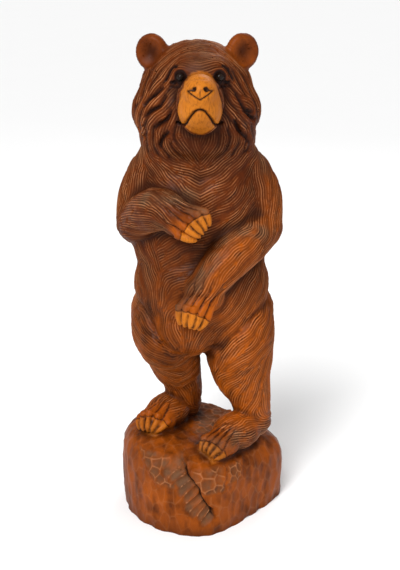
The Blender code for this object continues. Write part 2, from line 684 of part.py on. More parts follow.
def carve_paws(skin):
    """Grooves that part the fingers and toes and run back to the wrist."""
    tree = skin.tree()
    height = np.zeros(len(skin.point))
    for paw in PAWS:
        wrist = paw[7]
        for index in range(CLAW_COUNT - 1):
            root = (claw_line(paw, index)[0] + claw_line(paw, index + 1)[0]) / 2.0
            path = on_surface(tree, (tuple(root), mix(root, wrist, 0.25), mix(root, wrist, 0.6)))
            height += groove(skin, path, *FINGER_GROOVE)
    skin.push(height)


def carve_folds(skin):
    """The creases between the belly, the thighs and the chin ruff."""
    tree = skin.tree()
    height = np.zeros(len(skin.point))
    for width, depth, *fold in FOLDS:
        height += groove(skin, on_surface(tree, fold), width, depth)
    skin.push(height)


def carve_locks(skin):
    """Locks of fur: rounded ridges with sharp valleys between them."""
    line, depth = fur_lines(skin)
    phase = lock_phase(skin, line, LOCK_PITCH)
    ridge = np.abs(np.sin(phase / 2.0)) ** 0.8
    on_bear = np.clip((skin.point[:, 2] - ROCK_SHOULDER) / 0.05, 0.0, 1.0)
    skin.push(LOCK_DEPTH * depth * on_bear * (ridge - 0.6))


def detail_points(mesh):
    """Indices of the points on the face and about the claws, which keep smaller faces."""
    spots = [Vector(FACE_DETAIL)]
    for paw in PAWS:
        spots.append(claw_line(paw, CLAW_COUNT // 2)[0])
    return [v.index for v in mesh.vertices if min((v.co - spot).length for spot in spots) < DETAIL_REACH]


def thinned(form):
    """The carved form in the number of faces wanted, sawn flat at the floor."""
    form.data.calc_loop_triangles()
    form.vertex_groups.new(name="plain").add(range(len(form.data.vertices)), 1.0, "REPLACE")
    fine = form.vertex_groups["plain"]
    fine.add(detail_points(form.data), 1.0 - DETAIL_SHARE, "REPLACE")
    thin = form.modifiers.new("thin", "DECIMATE")
    thin.ratio = FACES_WANTED / len(form.data.loop_triangles)
    thin.vertex_group = fine.name
    thin.vertex_group_factor = DETAIL_HOLD
    thin.use_collapse_triangulate = True
    form = frozen(form)
    shape = bmesh.new()
    shape.from_mesh(form.data)
    everything = shape.verts[:] + shape.edges[:] + shape.faces[:]
    bmesh.ops.bisect_plane(shape, geom=everything, dist=0.00001, plane_co=(0.0, 0.0, 0.0),
                           plane_no=(0.0, 0.0, 1.0), clear_inner=True)
    rim = [e for e in shape.edges if e.is_boundary]
    bmesh.ops.triangle_fill(shape, edges=rim, use_beauty=True, use_dissolve=False, normal=(0.0, 0.0, -1.0))
    bmesh.ops.remove_doubles(shape, verts=shape.verts, dist=0.00005)
    bmesh.ops.recalc_face_normals(shape, faces=shape.faces)
    shape.to_mesh(form.data)
    shape.free()
    return form


def eye_middle(tree, side):
    """Middle of an eye, sunk so that only its front stands out of the hollow."""
    spot = (FACE_X + side * EYE_SPACING / 2.0, EYE_HEIGHT)
    x, y, z = from_front(tree, (spot,))[0]
    return (x, y + EYE_RADIUS - EYE_SHOWING, z)


def build():
    """Make the bear, bore its sockets and set the eyes."""
    clear_scene()
    parts = bpy.data.collections.new("carved_bear")
    cutters = bpy.data.collections.new("cutters")
    for holder in (parts, cutters):
        bpy.context.scene.collection.children.link(holder)
    form = rough_form()
    skin = Skin(form)
    for carve in (carve_folds, carve_rock, carve_paws, carve_locks, carve_face):
        carve(skin)
    tree = skin.tree()
    bear = thinned(form)
    bear.name = bear.data.name = "carved_bear"
    bear.data.materials.clear()
    bear.data.materials.append(material("stained_wood", WOOD, 0.42))
    keep_in(bear, parts)
    for name, side in (("right", -1.0), ("left", 1.0)):
        middle = eye_middle(tree, side)
        eye = ball(middle, (EYE_RADIUS,) * 3, 0, *EYE_FACES)
        eye.name = eye.data.name = "glass_eye_" + name
        eye.data.shade_smooth()
        eye.data.materials.append(material("dark_glass_" + name, GLASS, 0.06))
        keep_in(eye, parts)
        socket = ball(middle, (EYE_RADIUS + EYE_SEAT_GAP,) * 3, 0, *EYE_FACES)
        socket.name = "socket_" + name
        socket.hide_render = True
        socket.display_type = "WIRE"
        keep_in(socket, cutters)
        bored = bear.modifiers.new(socket.name, "BOOLEAN")
        bored.object = socket
        bored.operation = "DIFFERENCE"
        bored.solver = "EXACT"


def keep_in(thing, holder):
    """Leave the object in one collection only."""
    for other in list(thing.users_collection):
        other.objects.unlink(thing)
    holder.objects.link(thing)


build()
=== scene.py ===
# %% [markdown]
# # A bear carved from one log
#
# The real thing is one piece of a trunk. The carver roughs the bear out, rounds every mass with
# gouges, and then draws the fur with a V-tool, thousands of cuts that follow the body. Last come
# a red-brown stain and a satin varnish, which years of handling wear off the high places.
#
# This script makes the same carving in the same order: rough masses, one soft skin, folds and
# paws, the face, the rock, the fur, and then the stain. The two glass eyes are separate pieces.
# Everything is in metres, +Z is up, the bear faces -Y, and left and right are the bear's own.

# %% Open an empty bench and load the frame
import json
import math
from collections import namedtuple

import bmesh
import bpy
import numpy as np
from mathutils import Matrix, Vector
from mathutils.bvhtree import BVHTree
from mathutils.kdtree import KDTree

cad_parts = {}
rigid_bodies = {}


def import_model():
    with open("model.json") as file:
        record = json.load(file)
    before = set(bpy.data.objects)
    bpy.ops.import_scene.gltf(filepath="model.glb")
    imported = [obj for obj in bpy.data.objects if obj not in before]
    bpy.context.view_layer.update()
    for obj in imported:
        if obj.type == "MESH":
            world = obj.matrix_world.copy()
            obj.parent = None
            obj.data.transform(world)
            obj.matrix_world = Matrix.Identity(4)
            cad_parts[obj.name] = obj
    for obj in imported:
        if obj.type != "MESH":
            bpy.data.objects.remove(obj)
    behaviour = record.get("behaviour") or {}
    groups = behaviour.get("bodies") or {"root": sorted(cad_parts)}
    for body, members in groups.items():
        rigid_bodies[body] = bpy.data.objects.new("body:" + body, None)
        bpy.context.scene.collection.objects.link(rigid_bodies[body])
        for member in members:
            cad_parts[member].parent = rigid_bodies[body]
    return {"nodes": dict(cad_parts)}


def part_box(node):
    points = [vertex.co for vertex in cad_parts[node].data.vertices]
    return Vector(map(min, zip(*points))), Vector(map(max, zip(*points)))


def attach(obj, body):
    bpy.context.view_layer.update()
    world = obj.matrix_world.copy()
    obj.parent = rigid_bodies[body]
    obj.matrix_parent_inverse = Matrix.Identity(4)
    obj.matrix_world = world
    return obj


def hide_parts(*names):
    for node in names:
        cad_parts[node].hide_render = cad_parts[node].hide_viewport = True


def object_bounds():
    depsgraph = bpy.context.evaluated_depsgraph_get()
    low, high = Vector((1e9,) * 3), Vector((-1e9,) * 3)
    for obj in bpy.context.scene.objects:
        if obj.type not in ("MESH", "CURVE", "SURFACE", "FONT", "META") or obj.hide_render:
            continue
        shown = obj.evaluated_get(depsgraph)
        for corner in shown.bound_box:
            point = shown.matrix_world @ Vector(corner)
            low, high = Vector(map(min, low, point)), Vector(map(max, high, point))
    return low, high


for thing in list(bpy.data.objects):
    bpy.data.objects.remove(thing, do_unlink=True)
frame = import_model()
cad_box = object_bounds()
print("frame nodes:", sorted(frame["nodes"]))

# %% [markdown]
# ## The camera
#
# A camera at chest height looks a little down on the bear. It is made first, because the face, the
# paws and the crack are all judged from here.

# %% Camera
CAMERA_PLACE = (-0.007, -2.12, 1.22)
CAMERA_PITCH = 18.85
LENS = 69.09


def make_camera():
    """A camera on its stand, looking along +Y and down by its pitch."""
    lens = bpy.data.cameras.new("camera")
    lens.lens = LENS
    stand = bpy.data.objects.new("camera", lens)
    stand.location = CAMERA_PLACE
    stand.rotation_euler = (math.radians(90.0 - CAMERA_PITCH), 0.0, 0.0)
    bpy.context.scene.collection.objects.link(stand)
    return stand


bpy.context.scene.camera = make_camera()
print("camera looks down by", CAMERA_PITCH, "degrees")

# %% [markdown]
# ## The masses of the figure
#
# A carver thinks of a bear as a handful of rounded masses: skull, ruff, chest, belly, thighs. Each is
# an ellipsoid here, and each limb is a tapered tube along a few stations. The sizes are the same as
# those of the solid that carries this piece, so the finished skin keeps its form.

# %% Rounded masses
FACE_X = -0.007
DOWN = (0.0, 0.0, -1.0)
CHEST_RIGHT = (0.60, 0.0, -0.80)
CHEST_LEFT = (-0.60, 0.0, -0.80)
BELLY_RISE = (0.76, 0.0, 0.65)

# Each mass: name, group, middle, half sizes, turn about Z in degrees, lie of its fur
BODY_MASSES = (
    ("skull", "head", (-0.014, 0.008, 0.894), (0.109, 0.092, 0.095), 0, "face"),
    ("head_fur", "head", (-0.014, -0.004, 0.856), (0.126, 0.090, 0.082), 0, "face"),
    ("ruff", "head", (-0.012, -0.006, 0.808), (0.114, 0.088, 0.058), 0, "face"),
    ("brow", "head", (FACE_X, -0.046, 0.935), (0.066, 0.050, 0.036), 0, "face"),
    ("neck", "trunk", (-0.010, 0.010, 0.762), (0.120, 0.088, 0.060), 0, DOWN),
    ("shoulders", "trunk", (-0.008, 0.020, 0.705), (0.130, 0.086, 0.076), 0, DOWN),
    ("right_chest", "trunk", (-0.040, 0.006, 0.680), (0.090, 0.095, 0.110), 0, CHEST_RIGHT),
    ("left_chest", "trunk", (0.024, 0.006, 0.680), (0.090, 0.095, 0.110), 0, CHEST_LEFT),
    ("hump", "trunk", (-0.008, 0.060, 0.700), (0.090, 0.056, 0.100), 0, DOWN),
    ("ribs", "trunk", (-0.006, 0.008, 0.590), (0.136, 0.102, 0.120), 0, BELLY_RISE),
    ("belly", "trunk", (-0.004, -0.006, 0.505), (0.138, 0.108, 0.110), 0, BELLY_RISE),
    ("back", "trunk", (0.000, 0.055, 0.560), (0.106, 0.070, 0.150), 0, DOWN),
    ("hips", "trunk", (-0.002, 0.018, 0.440), (0.149, 0.106, 0.088), 0, (0.5, 0.0, 0.5)),
    ("lower_belly", "trunk", (-0.040, -0.028, 0.420), (0.084, 0.078, 0.062), 0, BELLY_RISE),
    ("rump", "trunk", (0.008, 0.055, 0.430), (0.110, 0.078, 0.086), 0, DOWN),
    ("right_thigh", "right_leg", (-0.080, 0.004, 0.410), (0.070, 0.090, 0.088), 0, (1.0, 0.0, -0.12)),
    ("right_knee", "right_leg", (-0.080, -0.040, 0.388), (0.054, 0.060, 0.056), 0, (1.0, 0.0, -0.25)),
    ("left_thigh", "left_leg", (0.076, -0.002, 0.395), (0.072, 0.090, 0.108), 0, (0.66, 0.0, 0.75)),
)
CRISP_MASSES = (
    ("snout", "head", (FACE_X, -0.082, 0.893), (0.042, 0.066, 0.046), 0, "face"),
    ("nose", "head", (FACE_X, -0.122, 0.908), (0.033, 0.046, 0.034), 0, DOWN),
    ("muzzle", "head", (FACE_X, -0.102, 0.882), (0.043, 0.059, 0.055), 0, DOWN),
    ("tail", "trunk", (0.004, 0.118, 0.430), (0.026, 0.030, 0.046), 0, DOWN),
    ("right_heel", "right_leg", (-0.040, 0.062, 0.208), (0.036, 0.042, 0.036), 0, (-0.6, -0.8, 0.0)),
    ("right_instep", "right_leg", (-0.076, 0.015, 0.208), (0.040, 0.060, 0.036), -38, (-0.6, -0.8, 0.0)),
    ("right_toes", "right_leg", (-0.094, -0.012, 0.200), (0.030, 0.040, 0.025), 56, (-0.6, -0.8, 0.0)),
    ("left_heel", "left_leg", (0.108, 0.010, 0.194), (0.038, 0.044, 0.040), 0, (-0.76, -0.65, 0.0)),
    ("left_instep", "left_leg", (0.070, -0.034, 0.184), (0.042, 0.060, 0.040), -50, (-0.76, -0.65, 0.0)),
    ("left_toes", "left_leg", (0.040, -0.072, 0.174), (0.033, 0.036, 0.026), 50, (-0.76, -0.65, 0.0)),
    ("right_palm", "right_arm", (-0.047, -0.116, 0.668), (0.034, 0.027, 0.034), 0, (1.0, 0.0, -0.3)),
    ("left_palm", "left_arm", (0.001, -0.112, 0.518), (0.039, 0.028, 0.042), 0, (-0.3, 0.0, -1.0)),
)
EARS = (("right_ear", (-0.099, 0.008, 0.965), -22), ("left_ear", (0.074, 0.008, 0.966), 22))
EAR_SIZE = (0.034, 0.019, 0.036)
EAR_CUP = 0.027
EAR_CUP_DEPTH = 0.017
print(len(BODY_MASSES) + len(CRISP_MASSES), "masses and", len(EARS), "ears")

# %% Tapered limbs
# Each limb: name, group, stations along its middle with a radius each. The forearms lie free
# across the trunk, so they are cut crisp.
LIMBS = (
    ("right_upper_arm", "right_arm", ((-0.100, 0.014, 0.724, 0.052), (-0.124, 0.006, 0.682, 0.047),
                                      (-0.132, -0.006, 0.632, 0.044))),
    ("left_upper_arm", "left_arm", ((0.086, 0.014, 0.722, 0.052), (0.110, 0.006, 0.684, 0.047),
                                    (0.115, -0.002, 0.626, 0.043))),
    ("right_shin", "right_leg", ((-0.068, -0.006, 0.366, 0.058), (-0.057, 0.014, 0.318, 0.053),
                                 (-0.045, 0.034, 0.275, 0.042), (-0.042, 0.046, 0.235, 0.040))),
    ("left_shin", "left_leg", ((0.076, -0.004, 0.345, 0.070), (0.083, -0.002, 0.300, 0.062),
                               (0.098, 0.000, 0.255, 0.046), (0.104, 0.004, 0.220, 0.040))),
)
CRISP_LIMBS = (
    ("right_forearm", "right_arm", ((-0.130, -0.014, 0.634, 0.042), (-0.090, -0.078, 0.677, 0.042),
                                    (-0.064, -0.106, 0.678, 0.036), (-0.052, -0.116, 0.674, 0.031))),
    ("left_forearm", "left_arm", ((0.115, -0.010, 0.622, 0.043), (0.084, -0.056, 0.603, 0.044),
                                  (0.046, -0.092, 0.578, 0.042), (0.016, -0.108, 0.546, 0.037),
                                  (0.004, -0.112, 0.530, 0.033))),
)


def ball(middle, size, turn=0.0, segments=28, rings=18):
    """An ellipsoid, turned about Z."""
    bpy.ops.mesh.primitive_uv_sphere_add(segments=segments, ring_count=rings, radius=1.0)
    made = bpy.context.object
    place = Matrix.Translation(middle) @ Matrix.Rotation(math.radians(turn), 4, "Z")
    made.data.transform(place @ Matrix.Diagonal((*size, 1.0)))
    return made


def plain_mesh(source, name):
    """A new object that holds the evaluated shape of another, which is then removed."""
    seen = source.evaluated_get(bpy.context.evaluated_depsgraph_get())
    made = bpy.data.objects.new(name, bpy.data.meshes.new_from_object(seen))
    bpy.context.scene.collection.objects.link(made)
    bpy.data.objects.remove(source, do_unlink=True)
    return made


def limb(stations):
    """A tapered round limb along smooth stations."""
    curve = bpy.data.curves.new("limb", "CURVE")
    curve.dimensions = "3D"
    curve.bevel_depth = 1.0
    curve.bevel_resolution = 5
    curve.use_fill_caps = True
    spline = curve.splines.new("BEZIER")
    spline.bezier_points.add(len(stations) - 1)
    for point, (x, y, z, radius) in zip(spline.bezier_points, stations):
        point.co = (x, y, z)
        point.radius = radius
        point.handle_left_type = "AUTO"
        point.handle_right_type = "AUTO"
    source = bpy.data.objects.new("limb", curve)
    bpy.context.scene.collection.objects.link(source)
    return plain_mesh(source, "limb")


def jointed(stations):
    """A limb with a ball at each end."""
    ends = [ball((x, y, z), (radius,) * 3) for x, y, z, radius in (stations[0], stations[-1])]
    return [limb(stations)] + ends


print(len(LIMBS) + len(CRISP_LIMBS), "limbs")

# %% [markdown]
# ## Paws
#
# Two hands lie on the belly and two feet stand on the rock, and each shows five fingers or toes with
# a long claw. A paw is one row of numbers: where the first and the last claw start and end, and how
# far the row bows out between them. Fingers run back from the claws as low ridges toward the wrist.

# %% Paws
# The roots and the tips of the first and the last claw, how far the middle root and the middle tip
# are bowed out of line, the place that the fingers come from, and two radii
Paw = namedtuple("Paw", "name root_a root_b tip_a tip_b root_bow tip_bow wrist finger_radius claw_radius")
CLAW_COUNT = 5
PAWS = (
    Paw("right_hand",
        (-0.041, -0.146, 0.641), (0.005, -0.142, 0.683), (-0.011, -0.150, 0.635), (0.011, -0.146, 0.661),
        (-0.003, -0.012, 0.011), (0.001, -0.012, 0.001), (-0.110, -0.090, 0.710), 0.0105, 0.0076),
    Paw("left_hand",
        (-0.047, -0.132, 0.489), (0.005, -0.137, 0.471), (-0.045, -0.132, 0.458), (-0.013, -0.140, 0.451),
        (0.000, -0.0155, 0.009), (0.001, -0.012, 0.0015), (0.045, -0.095, 0.600), 0.0100, 0.0080),
    Paw("right_foot",
        (-0.136, -0.025, 0.2055), (-0.079, -0.045, 0.2035), (-0.134, -0.036, 0.184), (-0.106, -0.052, 0.184),
        (-0.0065, -0.005, 0.0145), (0.003, -0.003, -0.0015), (-0.056, 0.030, 0.250), 0.0095, 0.0072),
    Paw("left_foot",
        (-0.003, -0.090, 0.186), (0.043, -0.105, 0.1635), (-0.005, -0.097, 0.1675), (0.017, -0.118, 0.158),
        (0.000, -0.0005, 0.0097), (-0.001, 0.000, 0.000), (0.092, -0.026, 0.230), 0.0088, 0.0068),
)
FINGER_SHARE = 0.50
FINGER_SINK = 0.006
KNUCKLE_SHARE = 0.18
FINGER_END = 0.82
PAD_SHARE = 0.45
PAD_SINK = 1.50
PAD_SIZE = 0.40


def mix(a, b, t):
    """The point a share t of the way from a to b."""
    return tuple(p + (q - p) * t for p, q in zip(a, b))


def claw_line(paw, index):
    """Root and tip of one claw: both rows are bowed."""
    t = index / (CLAW_COUNT - 1)
    bowed = math.sin(math.pi * t)
    root = Vector(mix(paw.root_a, paw.root_b, t)) + Vector(paw.root_bow) * bowed
    tip = Vector(mix(paw.tip_a, paw.tip_b, t)) + Vector(paw.tip_bow) * bowed
    return root, tip


def finger(paw, index):
    """The ridge of a finger or toe, from well up the paw to the root of its claw."""
    root, tip = claw_line(paw, index)
    radius = paw.finger_radius
    sink = Vector((0.0, FINGER_SINK, 0.0))
    end = root - (tip - root).normalized() * radius / 2.0 + sink / 2.0
    start = root.lerp(Vector(paw.wrist), FINGER_SHARE) + sink
    knuckle = root.lerp(Vector(paw.wrist), KNUCKLE_SHARE) + sink / 2.0
    stations = ((*start, radius), (*knuckle, radius), (*end, radius * FINGER_END))
    return [limb(stations), ball(tuple(end), (radius * FINGER_END,) * 3, 0, 16, 10)]


def pad(paw):
    """The flesh behind a row of claws, which they lie against."""
    stations = []
    for index in range(CLAW_COUNT):
        root, tip = claw_line(paw, index)
        middle = root.lerp(tip, PAD_SHARE) + Vector((0.0, paw.claw_radius * PAD_SINK, 0.0))
        stations.append((*middle, (tip - root).length * PAD_SIZE))
    return jointed(stations)


print(len(PAWS), "paws with", CLAW_COUNT, "claws each")

# %% [markdown]
# ## The rock
#
# The bear stands on what is left of the log: a round block with a few flat sides, where the wood was
# split off, and a domed top that rises behind the feet. A turned profile gives the dome, and then
# every point is moved in or out so that the plan gets its flats.

# %% Rock
LOG_RADIUS = 0.183
FLATS = ((-41, 0.125), (-93, 0.162), (-128, 0.170), (-160, 0.180), (60, 0.168), (128, 0.174))
FLAT_SHARPNESS = 10
ROCK_SHOULDER = 0.112
ROCK_TOP = 0.174
ROCK_RISE_BACK = 0.06
ROCK_FALL_LEFT = 0.17
TILT_START = 0.06
DOME_STEPS = 12
DOME_TOP_REACH = 0.30
DOME_FULLNESS = 0.62
LOG_SIDES = 96
SAW_ALLOWANCE = 0.012


def log_reach(angle):
    """Radius of the log at an angle, eased into the flat sides that were split off it."""
    total = (1.0 / LOG_RADIUS) ** FLAT_SHARPNESS
    for facing, distance in FLATS:
        toward = math.cos(angle - math.radians(facing))
        if toward > 0.0:
            total += (toward / distance) ** FLAT_SHARPNESS
    return total ** (-1.0 / FLAT_SHARPNESS)


def rock():
    """The turned log end with its flat sides and its sloping, domed top."""
    profile = [(0.0, ROCK_TOP + 0.004)]
    for step in range(DOME_STEPS + 1):
        angle = math.radians(90.0 - 90.0 * step / DOME_STEPS)
        reach = DOME_TOP_REACH + 0.69 * math.cos(angle) ** DOME_FULLNESS
        profile.append((reach, ROCK_SHOULDER + (ROCK_TOP - ROCK_SHOULDER) * math.sin(angle)))
    profile += [(1.0, 0.075), (0.99, 0.02), (0.98, -SAW_ALLOWANCE), (0.0, -SAW_ALLOWANCE)]
    shape = bpy.data.meshes.new("rock")
    shape.from_pydata([(x, 0.0, z) for x, z in profile], [(i, i + 1) for i in range(len(profile) - 1)], [])
    source = bpy.data.objects.new("rock", shape)
    bpy.context.scene.collection.objects.link(source)
    turned = source.modifiers.new("turned", "SCREW")
    turned.steps = turned.render_steps = LOG_SIDES
    turned.use_merge_vertices = True
    turned.merge_threshold = 0.0001
    made = plain_mesh(source, "rock")
    for vertex in made.data.vertices:
        x, y, z = vertex.co
        reach = log_reach(math.atan2(y, x))
        above = max(0.0, z - TILT_START) / (ROCK_TOP - TILT_START)
        x, y = x * reach, y * reach
        vertex.co = (x, y, z + above * (ROCK_RISE_BACK * y - ROCK_FALL_LEFT * x))
    return made


print("rock is about", round(2.0 * LOG_RADIUS, 3), "m across")

# %% [markdown]
# ## One skin
#
# Wood has no joints, so the masses have to become one closed surface. A voxel remesh does what
# sanding does: whatever overlaps becomes one skin, and a few rounds of smoothing soften the hollows
# between the masses. The soft body comes first, with large voxels, and the crisp snout, ears and
# feet go on it with small ones, so that they keep their edges.

# %% Many pieces in one skin
BODY_VOXEL = 0.006
BODY_ROUNDS = 14
CRISP_VOXEL = 0.0034
CRISP_ROUNDS = 5
FINE_VOXEL = 0.0017
FINE_ROUNDS = 3


def skinned(pieces, voxel, rounds):
    """Overlapping pieces as one closed skin with its joints softened."""
    with bpy.context.temp_override(active_object=pieces[0], selected_editable_objects=pieces):
        bpy.ops.object.join()
    form = pieces[0]
    skin = form.modifiers.new("skin", "REMESH")
    skin.mode = "VOXEL"
    skin.voxel_size = voxel
    soft = form.modifiers.new("soft", "SMOOTH")
    soft.factor = 0.5
    soft.iterations = rounds
    return plain_mesh(form, "skin")


print("voxels of", FINE_VOXEL * 1000.0, "mm for the last skin")

# %% A skin as arrays
def points_of(mesh):
    """The places of a mesh's points, as an array."""
    spots = np.empty((len(mesh.vertices), 3))
    mesh.vertices.foreach_get("co", spots.ravel())
    return spots


class Skin:
    """Points, normals and edges of a mesh as arrays, with the ways to carve it."""

    def __init__(self, thing):
        self.thing = thing
        self.mesh = thing.data
        self.point = points_of(self.mesh)
        self.edge = np.empty((len(self.mesh.edges), 2), dtype=np.int64)
        self.mesh.edges.foreach_get("vertices", self.edge.ravel())
        self.share = np.bincount(self.edge.ravel(), minlength=len(self.point)).astype(float)
        self.read_normals()

    def read_normals(self):
        self.normal = np.empty_like(self.point)
        self.mesh.vertices.foreach_get("normal", self.normal.ravel())

    def place(self, points):
        """Put the points in their new places and read the new normals."""
        self.point = points
        self.mesh.vertices.foreach_set("co", self.point.ravel())
        self.mesh.update()
        self.read_normals()

    def push(self, height):
        """Move every point along its normal."""
        self.place(self.point + self.normal * height[:, None])

    def mean(self, value):
        """Mean of the neighbours' values at every point."""
        a, b = self.edge.T
        flat = value.reshape(len(value), -1)
        result = np.empty_like(flat)
        for column in range(flat.shape[1]):
            part = np.bincount(a, flat[b, column], len(flat))
            part += np.bincount(b, flat[a, column], len(flat))
            result[:, column] = part / self.share
        return result.reshape(value.shape)

    def soften(self, value, rounds):
        """The value after some rounds of taking the neighbours' mean."""
        for _ in range(rounds):
            value = self.mean(value)
        return value

    def tree(self):
        """The mesh in a form that finds the nearest spot, or where a ray meets it."""
        shape = bmesh.new()
        shape.from_mesh(self.mesh)
        found = BVHTree.FromBMesh(shape)
        shape.free()
        return found


print("a skin can be softened, pushed and searched")

# %% Rough form
def rough_form():
    """The body in one soft skin, with the crisper masses, the ears and the rock on it."""
    pieces = [ball(middle, size, turn) for _, _, middle, size, turn, _ in BODY_MASSES]
    for _, _, stations in LIMBS:
        pieces += jointed(stations)
    pieces = [skinned(pieces, BODY_VOXEL, BODY_ROUNDS), rock()]
    for _, _, stations in CRISP_LIMBS:
        pieces += jointed(stations)
    for paw in PAWS:
        pieces += pad(paw)
        for index in range(CLAW_COUNT):
            pieces += finger(paw, index)
    pieces += [ball(middle, size, turn) for _, _, middle, size, turn, _ in CRISP_MASSES]
    pieces += [ball(middle, EAR_SIZE, turn) for _, middle, turn in EARS]
    return skinned(pieces, CRISP_VOXEL, CRISP_ROUNDS)


roughed_out = rough_form()
rough_tree = Skin(roughed_out).tree()
print("roughed out:", len(roughed_out.data.vertices), "points")

# %% [markdown]
# ## Claws
#
# Twenty claws of one kind, in four rows of five, are work for Geometry Nodes. Each claw starts as a
# single edge from root to tip. The tree turns the edges into curves, bows them away from the paw,
# and sweeps a circle along them whose radius shrinks to a blunt point.

# %% Seats
Claw = namedtuple("Claw", "paw root tip outward radius")
CLAW_SEAT = 0.35


def seated_claws():
    """Root, tip, way out of the paw and radius of every claw, seated on the rough skin."""
    found = []
    for paw in PAWS:
        for index in range(CLAW_COUNT):
            root, tip = claw_line(paw, index)
            spot, outward, _, _ = rough_tree.find_nearest(root)
            seat = spot - outward * paw.claw_radius * CLAW_SEAT
            found.append(Claw(paw.name, seat, tip, outward.copy(), paw.claw_radius))
    return found


claws = seated_claws()
print(len(claws), "claws seated")

# %% Nodes of a tree
def feed(tree, socket, value):
    """Link a socket to another one, or give it a value."""
    if isinstance(value, bpy.types.NodeSocket):
        tree.links.new(value, socket)
    else:
        socket.default_value = value


def add_node(tree, kind, settings=None, inputs=None):
    """One node of a tree: its settings first, then the values or links of its sockets."""
    node = tree.nodes.new(kind)
    for key, value in (settings or {}).items():
        setattr(node, key, value)
    for key, value in (inputs or {}).items():
        feed(tree, node.inputs[key], value)
    return node


print("nodes can be added and fed")

# %% Claw tree
CLAW_BOW = 0.16
CLAW_BLUNTNESS = 3.4
CLAW_STEPS = 14
CLAW_SIDES = 14
THINNEST = 0.0002


def claw_tree():
    """Edges become bowed, tapering claws."""
    tree = bpy.data.node_groups.new("claws", "GeometryNodeTree")
    tree.interface.new_socket("Geometry", in_out="INPUT", socket_type="NodeSocketGeometry")
    for name, kind, value in (("Steps", "NodeSocketInt", CLAW_STEPS),
                              ("Sides", "NodeSocketInt", CLAW_SIDES),
                              ("Bow", "NodeSocketFloat", CLAW_BOW),
                              ("Bluntness", "NodeSocketFloat", CLAW_BLUNTNESS)):
        tree.interface.new_socket(name, in_out="INPUT", socket_type=kind).default_value = value
    tree.interface.new_socket("Material", in_out="INPUT", socket_type="NodeSocketMaterial")
    tree.interface.new_socket("Geometry", in_out="OUTPUT", socket_type="NodeSocketGeometry")
    given = tree.nodes.new("NodeGroupInput").outputs

    def made(kind, inputs, settings=None):
        return add_node(tree, kind, settings, inputs).outputs[0]

    def maths(operation, first, second=0.0):
        return made("ShaderNodeMath", {0: first, 1: second}, {"operation": operation})

    def named(name, kind):
        return made("GeometryNodeInputNamedAttribute", {"Name": name}, {"data_type": kind})

    lines = made("GeometryNodeMeshToCurve", {"Mesh": given["Geometry"]})
    lines = made("GeometryNodeResampleCurve", {"Curve": lines, "Count": given["Steps"]})
    along = tree.nodes.new("GeometryNodeSplineParameter").outputs["Factor"]
    lift = maths("MULTIPLY", maths("SINE", maths("MULTIPLY", along, math.pi)), given["Bow"])
    lift = maths("MULTIPLY", lift, named("reach", "FLOAT"))
    outward = {0: named("outward", "FLOAT_VECTOR"), "Scale": lift}
    offset = made("ShaderNodeVectorMath", outward, {"operation": "SCALE"})
    lines = made("GeometryNodeSetPosition", {"Geometry": lines, "Offset": offset})
    taper = maths("SUBTRACT", 1.0, maths("POWER", along, given["Bluntness"]))
    radius = maths("MULTIPLY", maths("POWER", taper, 0.5), named("thickness", "FLOAT"))
    radius = maths("MAXIMUM", radius, THINNEST)
    lines = made("GeometryNodeSetCurveRadius", {"Curve": lines, "Radius": radius})
    ring = made("GeometryNodeCurvePrimitiveCircle", {"Resolution": given["Sides"], "Radius": 1.0})
    sweep = {"Curve": lines, "Profile Curve": ring, "Fill Caps": True}
    body = add_node(tree, "GeometryNodeCurveToMesh", None, sweep)
    if "Scale" in body.inputs:
        tree.links.new(radius, body.inputs["Scale"])
    solid = made("GeometryNodeRealizeInstances", {"Geometry": body.outputs[0]})
    solid = made("GeometryNodeSetMaterial", {"Geometry": solid, "Material": given["Material"]})
    out = tree.nodes.new("NodeGroupOutput")
    tree.links.new(solid, out.inputs[0])
    return tree


print("claws bow out by", CLAW_BOW, "of their length")

# %% Claws on the paws
CLAW_SINK = 0.30


def claw_shapes():
    """The claws as plain meshes, sunk a little into the paws."""
    ends = []
    for _, root, tip, outward, radius in claws:
        ends += [root - (tip - root) * CLAW_SINK - outward * radius * 0.5, tip]
    shape = bpy.data.meshes.new("claw_edges")
    shape.from_pydata(ends, [(2 * i, 2 * i + 1) for i in range(len(claws))], [])
    thickness = shape.attributes.new("thickness", "FLOAT", "POINT")
    reach = shape.attributes.new("reach", "FLOAT", "POINT")
    outwards = shape.attributes.new("outward", "FLOAT_VECTOR", "POINT")
    for index, (_, root, tip, outward, radius) in enumerate(claws):
        for end in (2 * index, 2 * index + 1):
            thickness.data[end].value = radius
            reach.data[end].value = (tip - root).length
            outwards.data[end].vector = outward
    source = bpy.data.objects.new("claw_edges", shape)
    bpy.context.scene.collection.objects.link(source)
    grown = source.modifiers.new("claws", "NODES")
    grown.node_group = claw_tree()
    return plain_mesh(source, "claws")


fine_form = skinned([roughed_out, claw_shapes()], FINE_VOXEL, FINE_ROUNDS)
skin = Skin(fine_form)
print("fine skin:", len(skin.point), "points")

# %% [markdown]
# ## Ways to cut
#
# Every cut below is a depth at each point of the skin: a groove along a path, a bowl about a point,
# or a band between two limits. Paths are laid on the rough form, either from the front, by X and Z,
# or at the nearest spot.

# %% Paths
def distance_to_path(points, path):
    """Distance of every point to a run of straight stretches, and how far along it is."""
    path = np.array(path)
    best = np.full(len(points), 1e9)
    along = np.zeros(len(points))
    last = len(path) - 1
    for i in range(last):
        start = path[i]
        stretch = path[i + 1] - start
        t = np.clip((points - start) @ stretch / (stretch @ stretch + 1e-12), 0.0, 1.0)
        gap = np.linalg.norm(points - start - t[:, None] * stretch, axis=1)
        nearer = gap < best
        best[nearer] = gap[nearer]
        along[nearer] = ((i + t) / last)[nearer]
    return best, along


